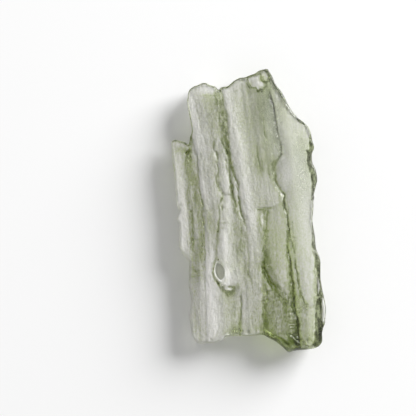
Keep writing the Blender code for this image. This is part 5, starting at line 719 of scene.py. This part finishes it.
# Where the glass is greener or paler as a whole, partly its own green and partly painted shade and painted light: x, y,
# half width, half length along the flutes, amount.
BODY_TINT_AND_SHADE = [
    (262, 120, 13.5, 36, 0.38), (263, 163, 10, 14, 0.14), (205, 118, 8, 26, 0.06), (193, 112, 3.0, 22, -0.24), (222, 112, 4.0, 20, 0.12),
    (195, 216, 7.0, 20, -0.05), (209, 224, 4, 10, 0.22), (245, 272, 4, 9, 0.18), (308, 340, 5, 5, 0.18), (196, 274, 7.0, 6, 0.14), (197, 318, 4.5, 22, 0.10), (181, 190, 4, 50, 0.03), (188.5, 152, 2.5, 9, 0.24),
    (225, 230, 6, 28, -0.12), (237, 150, 6, 58, -0.06), (251, 238, 6, 34, -0.12), (240, 252, 4.5, 20, 0.16), (213, 314, 7, 26, -0.26),
    (236, 312, 6, 20, 0.18), (252, 305, 6, 28, 0.06), (275, 234, 10, 26, 0.22), (276, 312, 12, 28, 0.20), (264, 300, 4, 36, 0.08), (287, 334, 14, 14, 0.09), (300, 338, 9, 14, 0.18),
    (300, 162, 11, 52, 0.30), (302, 245, 7, 44, 0.24), (309, 322, 4, 18, 0.12), (271, 193, 9, 10, -0.04), (231, 275, 6, 7, -0.38),
    (294, 285, 3, 22, 0.10), (324.0, 311, 0.9, 8, -0.30), (278, 336, 9, 4, 0.16), (280, 106, 5, 16, 0.14),
    (215, 165, 4.0, 60, 0.22), (212, 102, 4.5, 9, 0.14), (269, 90, 5, 12, 0.10), (267, 104, 4, 24, 0.15), (202, 256, 5, 16, 0.10), (259, 205, 5, 40, 0.08), (272, 240, 4, 34, 0.08), (216, 120, 3, 26, 0.10), (241, 240, 7.0, 12, 0.28), (230, 331, 10, 4, 0.26), (235.5, 140, 3.5, 26, -0.12), (237, 222, 4, 8, 0.10),
    (188.5, 178, 3, 16, 0.10), (304, 150, 4, 16, 0.08),
    (271.5, 98, 2.6, 9, 0.22), (265, 86, 4, 4, 0.14), (189, 172, 2.6, 7, 0.10), (195, 185, 3, 8, 0.14), (183, 226, 4, 20, -0.14), (279, 153, 3, 8, -0.18), (287, 172, 4, 9, -0.18),
    (293, 242, 3.2, 16, 0.16), (237, 288, 2, 3, -0.18), (244, 313, 3, 8, -0.14), (282, 310, 5, 14, -0.17), (264, 298, 3, 10, -0.10), (321, 308, 1.5, 8, 0.16), (223, 298, 4, 5, 0.16),
    (237, 329, 4, 3, 0.18), (262, 328, 9, 4, 0.12), (195, 338, 3, 3, -0.18), (209, 88, 5, 2.5, -0.14), (248, 79, 4, 3, -0.05), (271, 79, 2, 4, 0.14), (205, 124, 4, 18, -0.12),
    (209, 143, 3, 8, -0.10), (258, 132, 3, 26, -0.11), (259, 168, 3, 4, 0.12), (223, 152, 2.5, 6, 0.12), (216, 226, 3, 13, 0.12), (209, 218, 3, 5, 0.08), (223, 243, 3, 7, -0.10),
    (237, 239, 2.5, 5, -0.12), (230, 262, 4, 8, 0.07), (227, 312, 5, 9, 0.10), (216, 306, 4, 12, 0.08), (283, 339, 5, 4, -0.12), (293, 303, 2.4, 8, -0.10), (300, 303, 2.4, 7, 0.08),
    (202, 182, 1.6, 8, -0.24), (314, 178, 1.6, 5, -0.10), (209, 330, 12, 12, 0.02), (237, 118, 3, 10, 0.08), (223, 128, 2.4, 5, 0.10), (216, 128, 3, 5, 0.06), (195, 150, 2, 5, -0.04), (320, 285, 2, 20, 0.05), (318, 245, 3, 12, 0.06), (308, 312, 3, 8, 0.06), (265, 298, 3, 5, 0.08), (223, 338, 2, 3, -0.10), (174.5, 149, 2.5, 4, 0.14), (181, 149, 4, 4, 0.08), (195, 148, 1.8, 4, -0.10), (209, 165, 4, 8, 0.02), (251, 90, 3, 3, 0.10), (258, 266, 3, 6, 0.06), (321, 300, 2, 20, 0.08), (300, 158, 6, 14, 0.06), (314, 338, 3, 4, 0.08), (271, 98, 2, 6, 0.08), (279, 112, 3, 6, 0.06), (196, 158, 1.8, 9, -0.24), (293, 317, 3, 9, -0.16), (279, 328, 3, 5, -0.12), (286, 238, 2, 5, -0.14), (258, 89, 3, 3, -0.08), (314, 168, 1.6, 5, 0.14),
    (314, 190, 1.6, 5, 0.10), (219, 97, 2.4, 7, 0.14), (223, 112, 2.6, 8, -0.06), (223, 122, 2.4, 5, -0.10), (224, 136, 2.4, 6, -0.10), (230, 150, 2, 8, -0.08), (237, 159, 2, 6, -0.10), (266, 76, 3, 4, 0.10), (277, 98, 2, 5, -0.12), (209, 88, 4, 2, -0.08), (223, 98, 2, 4, -0.06), (233, 168, 2.5, 8, 0.06), (307.5, 158, 2, 5, -0.08), (314, 298, 1.6, 5, 0.10), (202, 215, 3, 8, -0.08), (188, 216, 2, 6, -0.10), (216, 208, 2, 4, 0.10), (209, 270, 3, 6, -0.10), (223, 190, 2, 4, -0.02), (202, 314, 4, 10, -0.10), (202, 338, 3, 3, 0.08), (216, 338, 3, 3, 0.08), (237, 188, 2, 4, -0.10), (279, 98, 2, 5, -0.06), (300, 142, 5, 8, 0.06), (265, 268, 2.4, 4, -0.08), (258, 258, 3, 8, 0.08), (258, 240, 3, 4, 0.06), (265, 238, 3, 4, 0.10), (272, 278, 2.4, 4, -0.06), (279, 338, 5, 3, -0.10), (272, 338, 4, 3, -0.06), (299, 190, 5, 6, 0.05), (307, 190, 3, 6, 0.08), (321.5, 313, 1.2, 8, 0.10), (223, 342, 3, 3, -0.12), (314, 222, 2, 12, 0.06), (265, 258, 2, 4, -0.08), (251, 79, 3, 3, -0.12), (209, 97, 5, 4, 0.14), (195, 92, 4, 6, 0.09), (184, 156, 3, 8, 0.10), (307, 172, 2.5, 8, 0.12), (304, 148, 4, 8, 0.08),
    (283, 202, 5, 6, 0.12), (293, 234, 3, 12, 0.08), (251, 98, 3, 5, 0.0), (272, 268, 3, 6, 0.14), (223, 283, 3, 5, 0.12), (265, 320, 3, 4, 0.12), (251, 328, 3, 4, 0.08),
    (230, 276, 4, 8, 0.06), (216, 338, 4, 3, 0.14), (286, 315, 4, 12, 0.10), (286, 288, 3, 5, 0.10), (293, 338, 3, 4, 0.10), (272, 288, 2.5, 4, -0.10), (223, 242, 3, 8, -0.06), (202, 191, 3, 6, -0.06),
    (251, 158, 4, 14, -0.07), (223, 188, 2.5, 5, -0.14), (244, 218, 3, 4, -0.10), (271, 128, 3, 5, -0.05), (314, 315, 2.5, 8, 0.10), (244, 94, 4, 6, -0.04), (196, 148, 2, 5, -0.10),
]
# Where the etched skin is rougher or smoother than elsewhere: the same columns.
ETCH = [
    (193.5, 200, 6, 60, 0.2), (236, 150, 8, 60, 0.5), (276, 300, 14, 50, 0.6), (262, 125, 11, 34, -0.6), (297, 165, 9, 40, -0.5), (304, 262, 8, 50, 0.5),
    (226, 235, 8, 34, -0.2), (224, 130, 5, 40, 0.5),
]

# Where the green is greyer: the same columns.
SMOKE = [
    (299, 165, 11, 60, 0.60), (316, 170, 5, 70, 0.05), (317, 300, 5, 50, 0.15), (270, 105, 6, 30, 0.55), (304, 250, 8, 50, 0.35), (280, 140, 6, 20, 0.4),
    (257, 81, 7, 7, -0.4), (258, 145, 8, 28, 0.12), (304, 168, 6, 34, 0.12), (320, 325, 5, 20, 0.28), (214, 95, 8, 8, 0.2), (268, 248, 5, 9, 0.25), (224, 268, 6, 10, 0.15), (234, 328, 5, 5, 0.2),
    (200, 290, 9, 50, -0.40), (204, 202, 8, 26, -0.15), (262, 120, 12, 40, 0.15), (276, 300, 16, 40, -0.42), (197, 220, 8, 60, -0.42), (206, 200, 8, 30, -0.1),
]

def patches(x, y, rows):
    """Sum of soft patches that lie along the flutes."""
    t = np.zeros_like(x)
    for cx, cy, sx, sy, amount in rows:
        u = x - flow_shift(y) + flow_shift(cy)
        t += amount * np.exp(-0.5 * ((u - cx) / sx) ** 2 - 0.5 * ((y - cy) / sy) ** 2)
    return t

def tint_and_shade_of(shape, x, y, lift, rise):
    """How green each point is drawn, 0 pale to 1 deep: the glass's own green together with painted shade along the
    grooves and on the side faces.
    """
    wx, wy = shape.warp(x, y)
    t = 0.12 + patches(x, y, BODY_TINT_AND_SHADE)
    for (name, (_, rows)), g in zip(LINES.items(), shape.grooves):
        core, cw, halo, hl, hr = LINE_TINT_AND_SHADE[name]
        d, over, (amp, _, _) = g.read(wx, wy)
        a = np.clip(np.maximum(amp, 0) / max(r[2] for r in rows), 0, 1) ** 0.7 * np.exp(-(over / 3.0) ** 2)
        broken = 0.75 + 0.6 * noise(x / 1.5, y / 3.2, 71) + 0.4 * noise(x / 4.0, y / 8.0, 72)
        spread = 1.0 + 0.5 * noise(x / 3.0, y / 4.0, 73)
        t += a * (core * np.clip(broken, 0, 1.4) * np.exp(-(d / (cw * spread)) ** 2) + halo * np.exp(-(d / np.where(d < 0, hl, hr)) ** 2))
    t += stroke_fields(wx, wy)[1] + outlined_fields(wx, wy)[1]
    d, place = to_curve(x, y, shape.outline)
    keys = np.concatenate([shape.edge_place - shape.edge_total, shape.edge_place, shape.edge_place + shape.edge_total])
    width, dark = [np.interp(place, keys, np.tile(shape.edge_rows[:, k], 3)) for k in (4, 5)]
    ragged = 1 + 0.08 * noise(x / 4.0, y / 5.0, 61) + 0.10 * noise(x / 1.6, y / 2.0, 62)
    # painted shade on the side faces, deep on the right-hand ones and lighter on the left, in clouds of green
    cloud = 0.5 * noise((x + 0.8 * lift) / 5.0, (y - 0.9 * lift) / 6.0, 63) + 0.35 * noise((x - 0.9 * lift) / 2.2, (y + lift) / 2.4, 64)
    side = np.where(rise > 0.93, 0.9 + 0.2 * cloud, 0.62 + 0.5 * cloud)
    t += dark * side * np.exp(-(d / np.maximum(width * ragged, .3)) ** 8)
    # below the rim the side faces are broken glass of one green, in soft clouds
    broken = 0.24 + 0.48 * smooth(205, 296, x) + 0.20 * noise((x + 0.5 * lift) / 10.0, (y - 0.4 * lift) / 12.0, 65)
    broken += 0.09 * noise((x - 0.3 * lift) / 6.0, (y + 0.4 * lift) / 7.0, 66)
    below = (1 - smooth(0.80, 0.95, rise)) * np.exp(-(d / 5.0) ** 2)
    t = t * (1 - below) + broken * below
    # a thin clear rim round the hole
    dh, _ = to_curve(x, y, shape.hole)
    t -= 0.4 * np.exp(-(dh / 0.7) ** 2)
    return np.clip(t, -0.35, 1.4)

def add_fields(mesh, shape, middle):
    """Stores how hollow, how thick and how close to a groove each point of the stone is."""
    n = len(mesh.vertices)
    co = np.empty(n * 3)
    mesh.vertices.foreach_get("co", co)
    co = co.reshape(n, 3)
    pairs = np.empty(len(mesh.edges) * 2, dtype=np.int64)
    mesh.edges.foreach_get("vertices", pairs)
    pairs = pairs.reshape(-1, 2)
    x, y = co[:, 0] / UNIT + middle[0], middle[1] - co[:, 1] / UNIT
    z = co[:, 2] / MM
    top, bottom = shape.heights(x, y)
    upper = z > (top + bottom) / 2
    _, near = shape.relief(x, y)
    fine = near_mean(z, pairs, 6) - z
    wide = near_mean(z, pairs, 60) - z
    sign = np.where(upper, 1.0, -1.0)
    fields = {
        "groove": near * np.where(upper, 1.0, 0.35),
        "hollow_fine": fine * sign,
        "hollow_wide": wide * sign,
        "thick": near_mean(top - bottom, pairs, 4),
        # green of the glass together with painted shade
        "tint_and_shade": tint_and_shade_of(shape, x, y, z / (UNIT / MM), (z - bottom) / np.maximum(top - bottom, 1e-3)),
        "etch": np.clip(1.15 + patches(x, y, ETCH), 0.4, 3.0),
        "smoke": np.clip(patches(x, y, SMOKE) + 0.2 * np.exp(-(to_curve(x, y, shape.outline)[0] / 2.6) ** 2), -0.4, 0.9),
    }
    for name, values in fields.items():
        layer = mesh.attributes.new(name, "FLOAT", "POINT")
        layer.data.foreach_set("value", values.astype(np.float32))
    return fields

def tektite():
    material, tree, out = new_material("tektite_glass")
    n, link = tree.nodes, tree.links.new
    shader = n.new("ShaderNodeBsdfPrincipled")
    shader.inputs["IOR"].default_value = 1.49
    link(shader.outputs["BSDF"], out.inputs["Surface"])
    absorb = n.new("ShaderNodeVolumeAbsorption")
    absorb.inputs["Color"].default_value = (0.65, 0.69, 0.52, 1)
    absorb.inputs["Density"].default_value = 130.0
    link(absorb.outputs["Volume"], out.inputs["Volume"])

    def field(name):
        node = n.new("ShaderNodeAttribute")
        node.attribute_name = name
        return node.outputs["Fac"]

    def ranged(value, a, b, lo, hi, smooth_it=False):
        node = n.new("ShaderNodeMapRange")
        node.interpolation_type = "SMOOTHSTEP" if smooth_it else "LINEAR"
        for key, v in (("From Min", a), ("From Max", b), ("To Min", lo), ("To Max", hi)):
            node.inputs[key].default_value = v
        link(value, node.inputs["Value"])
        return node.outputs["Result"]

    def maths(kind, a, b=None, clamp=False):
        node = n.new("ShaderNodeMath")
        node.operation = kind
        node.use_clamp = clamp
        for socket, v in zip(node.inputs, (a, b)):
            if v is None:
                continue
            if isinstance(v, (int, float)):
                socket.default_value = v
            else:
                link(v, socket)
        return node.outputs["Value"]

    def noise_of(scale, detail, rough=0.5):
        coord = n.new("ShaderNodeTexCoord")
        mapping = n.new("ShaderNodeMapping")
        mapping.inputs["Scale"].default_value = scale
        mapping.inputs["Rotation"].default_value = (0, 0, -0.11)
        link(coord.outputs["Object"], mapping.inputs["Vector"])
        node = n.new("ShaderNodeTexNoise")
        node.inputs["Scale"].default_value = 1.0
        node.inputs["Detail"].default_value = detail
        node.inputs["Roughness"].default_value = rough
        link(mapping.outputs["Vector"], node.inputs["Vector"])
        return node.outputs["Fac"]

    fine_noise = noise_of((5200, 3000, 4000), 4.0, 0.6)
    streak_noise = noise_of((3600, 520, 2000), 3.0, 0.6)
    cloud = noise_of((420, 160, 300), 3.0, 0.6)

    # greener in the hollows and along the grooves, pale on the crests; the green in the hollows and grooves is partly
    # painted shade
    speck = maths("MULTIPLY", maths("SUBTRACT", fine_noise, 0.5), field("etch"))
    streak = maths("MULTIPLY", maths("SUBTRACT", streak_noise, 0.5), field("etch"))
    green = maths("ADD", field("tint_and_shade"), ranged(field("hollow_fine"), -0.06, 0.08, -0.12, 0.22))
    green = maths("ADD", green, ranged(cloud, 0.3, 0.7, -0.05, 0.05))
    green = maths("ADD", green, maths("MULTIPLY", streak, 0.30))
    green = maths("ADD", green, maths("MULTIPLY", speck, 1.1))
    whole = maths("MULTIPLY", green, 1 / 1.3)
    green = maths("ADD", whole, 0.0, clamp=True)
    ramp = n.new("ShaderNodeValToRGB")
    ramp.color_ramp.elements[0].position = 0.0
    ramp.color_ramp.elements[0].color = (0.98, 0.97, 0.96, 1)
    ramp.color_ramp.elements[1].position = 1.0
    ramp.color_ramp.elements[1].color = (0.06, 0.07, 0.02, 1)
    for place, colour in ((0.18, (0.88, 0.875, 0.84, 1)), (0.28, (0.82, 0.83, 0.72, 1)), (0.40, (0.74, 0.78, 0.55, 1)), (0.77, (0.36, 0.44, 0.14, 1))):
        ramp.color_ramp.elements.new(place).color = colour
    link(green, ramp.inputs["Fac"])
    grey = n.new("ShaderNodeHueSaturation")
    link(ranged(field("smoke"), -0.5, 1.0, 1.38, 0.15), grey.inputs["Saturation"])
    link(ramp.outputs["Color"], grey.inputs["Color"])
    link(grey.outputs["Color"], shader.inputs["Base Color"])

    link(ranged(whole, -0.25, 0.54, 0.36, 0.96), shader.inputs["Transmission Weight"])
    rough = maths("ADD", ranged(green, 0.0, 0.6, 0.40, 0.24), ranged(fine_noise, 0.3, 0.7, -0.08, 0.08), clamp=True)
    link(rough, shader.inputs["Roughness"])

    bump = n.new("ShaderNodeBump")
    bump.inputs["Strength"].default_value = 0.6
    bump.inputs["Distance"].default_value = 0.00010
    link(fine_noise, bump.inputs["Height"])
    link(bump.outputs["Normal"], shader.inputs["Normal"])
    return material

def plain(name, colour, rough):
    material, tree, out = new_material(name)
    shader = tree.nodes.new("ShaderNodeBsdfPrincipled")
    shader.inputs["Base Color"].default_value = (*colour, 1)
    shader.inputs["Roughness"].default_value = rough
    shader.inputs["Specular IOR Level"].default_value = 0.2
    tree.links.new(shader.outputs["BSDF"], out.inputs["Surface"])
    return material

# ---- the stone ----
shape = Stone(detail=1.0, step=EDGE_STEPS)
BULGE = 0.25
stone_mesh = solid("moldavite_stone", shape, GRID_ACROSS, GRID_ALONG, (0.6, 1.3), BULGE, 5, 0.9)
add_fields(stone_mesh, shape, plan_middle(shape, BULGE))
stone = bpy.data.objects.new("moldavite_stone", stone_mesh)
bpy.context.scene.collection.objects.link(stone)
stone_mesh.materials.append(tektite())
stone_mesh.shade_smooth()
stone_mesh.set_sharp_from_angle(angle=math.radians(50))
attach(stone, "root")
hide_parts("moldavite")

# ---- floor, light, camera ----
floor_mesh = bpy.data.meshes.new("floor")
bm = bmesh.new()
bmesh.ops.create_grid(bm, x_segments=1, y_segments=1, size=1.2)
bm.to_mesh(floor_mesh)
bm.free()
floor = bpy.data.objects.new("floor", floor_mesh)
floor.location = (0, 0, -0.00005)
bpy.context.scene.collection.objects.link(floor)
floor_mesh.materials.append(plain("pale_floor", (0.86, 0.86, 0.86), 0.6))

def area(name, azimuth, elevation, distance, size, power):
    """A soft round lamp that faces the stone. Azimuth runs from +X towards +Y."""
    light = bpy.data.lights.new(name, "AREA")
    light.shape = "DISK"
    light.size = size
    light.energy = power
    a, e = math.radians(azimuth), math.radians(elevation)
    where = Vector((math.cos(a) * math.cos(e), math.sin(a) * math.cos(e), math.sin(e))) * distance
    obj = bpy.data.objects.new(name, light)
    obj.location = where
    obj.rotation_euler = (-where).to_track_quat("-Z", "Y").to_euler()
    bpy.context.scene.collection.objects.link(obj)

area("key", 38, 22, 1.5, 1.08, 48.0)

world = bpy.data.worlds.new("studio")
world.use_nodes = True
world.node_tree.nodes["Background"].inputs["Color"].default_value = (1, 1, 1, 1)
world.node_tree.nodes["Background"].inputs["Strength"].default_value = 0.43
bpy.context.scene.world = world

# the photograph's frame is 416 units wide, and the stone sits near its middle
HEIGHT = 0.60
cam_data = bpy.data.cameras.new("camera")
cam_data.sensor_width = 36.0
cam_data.sensor_fit = "HORIZONTAL"
SPAN = 416 * UNIT
cam_data.lens = 36.0 * (HEIGHT - 0.003) / SPAN
cam_data.clip_start = 0.01
cam_data.clip_end = 10
camera = bpy.data.objects.new("camera", cam_data)
camera.location = ((208 - PLAN_X) * UNIT, (PLAN_Y - 208) * UNIT, HEIGHT)
bpy.context.scene.collection.objects.link(camera)
bpy.context.scene.camera = camera

bpy.context.scene.view_settings.view_transform = "Standard"
bpy.context.scene.cycles.use_denoising = True
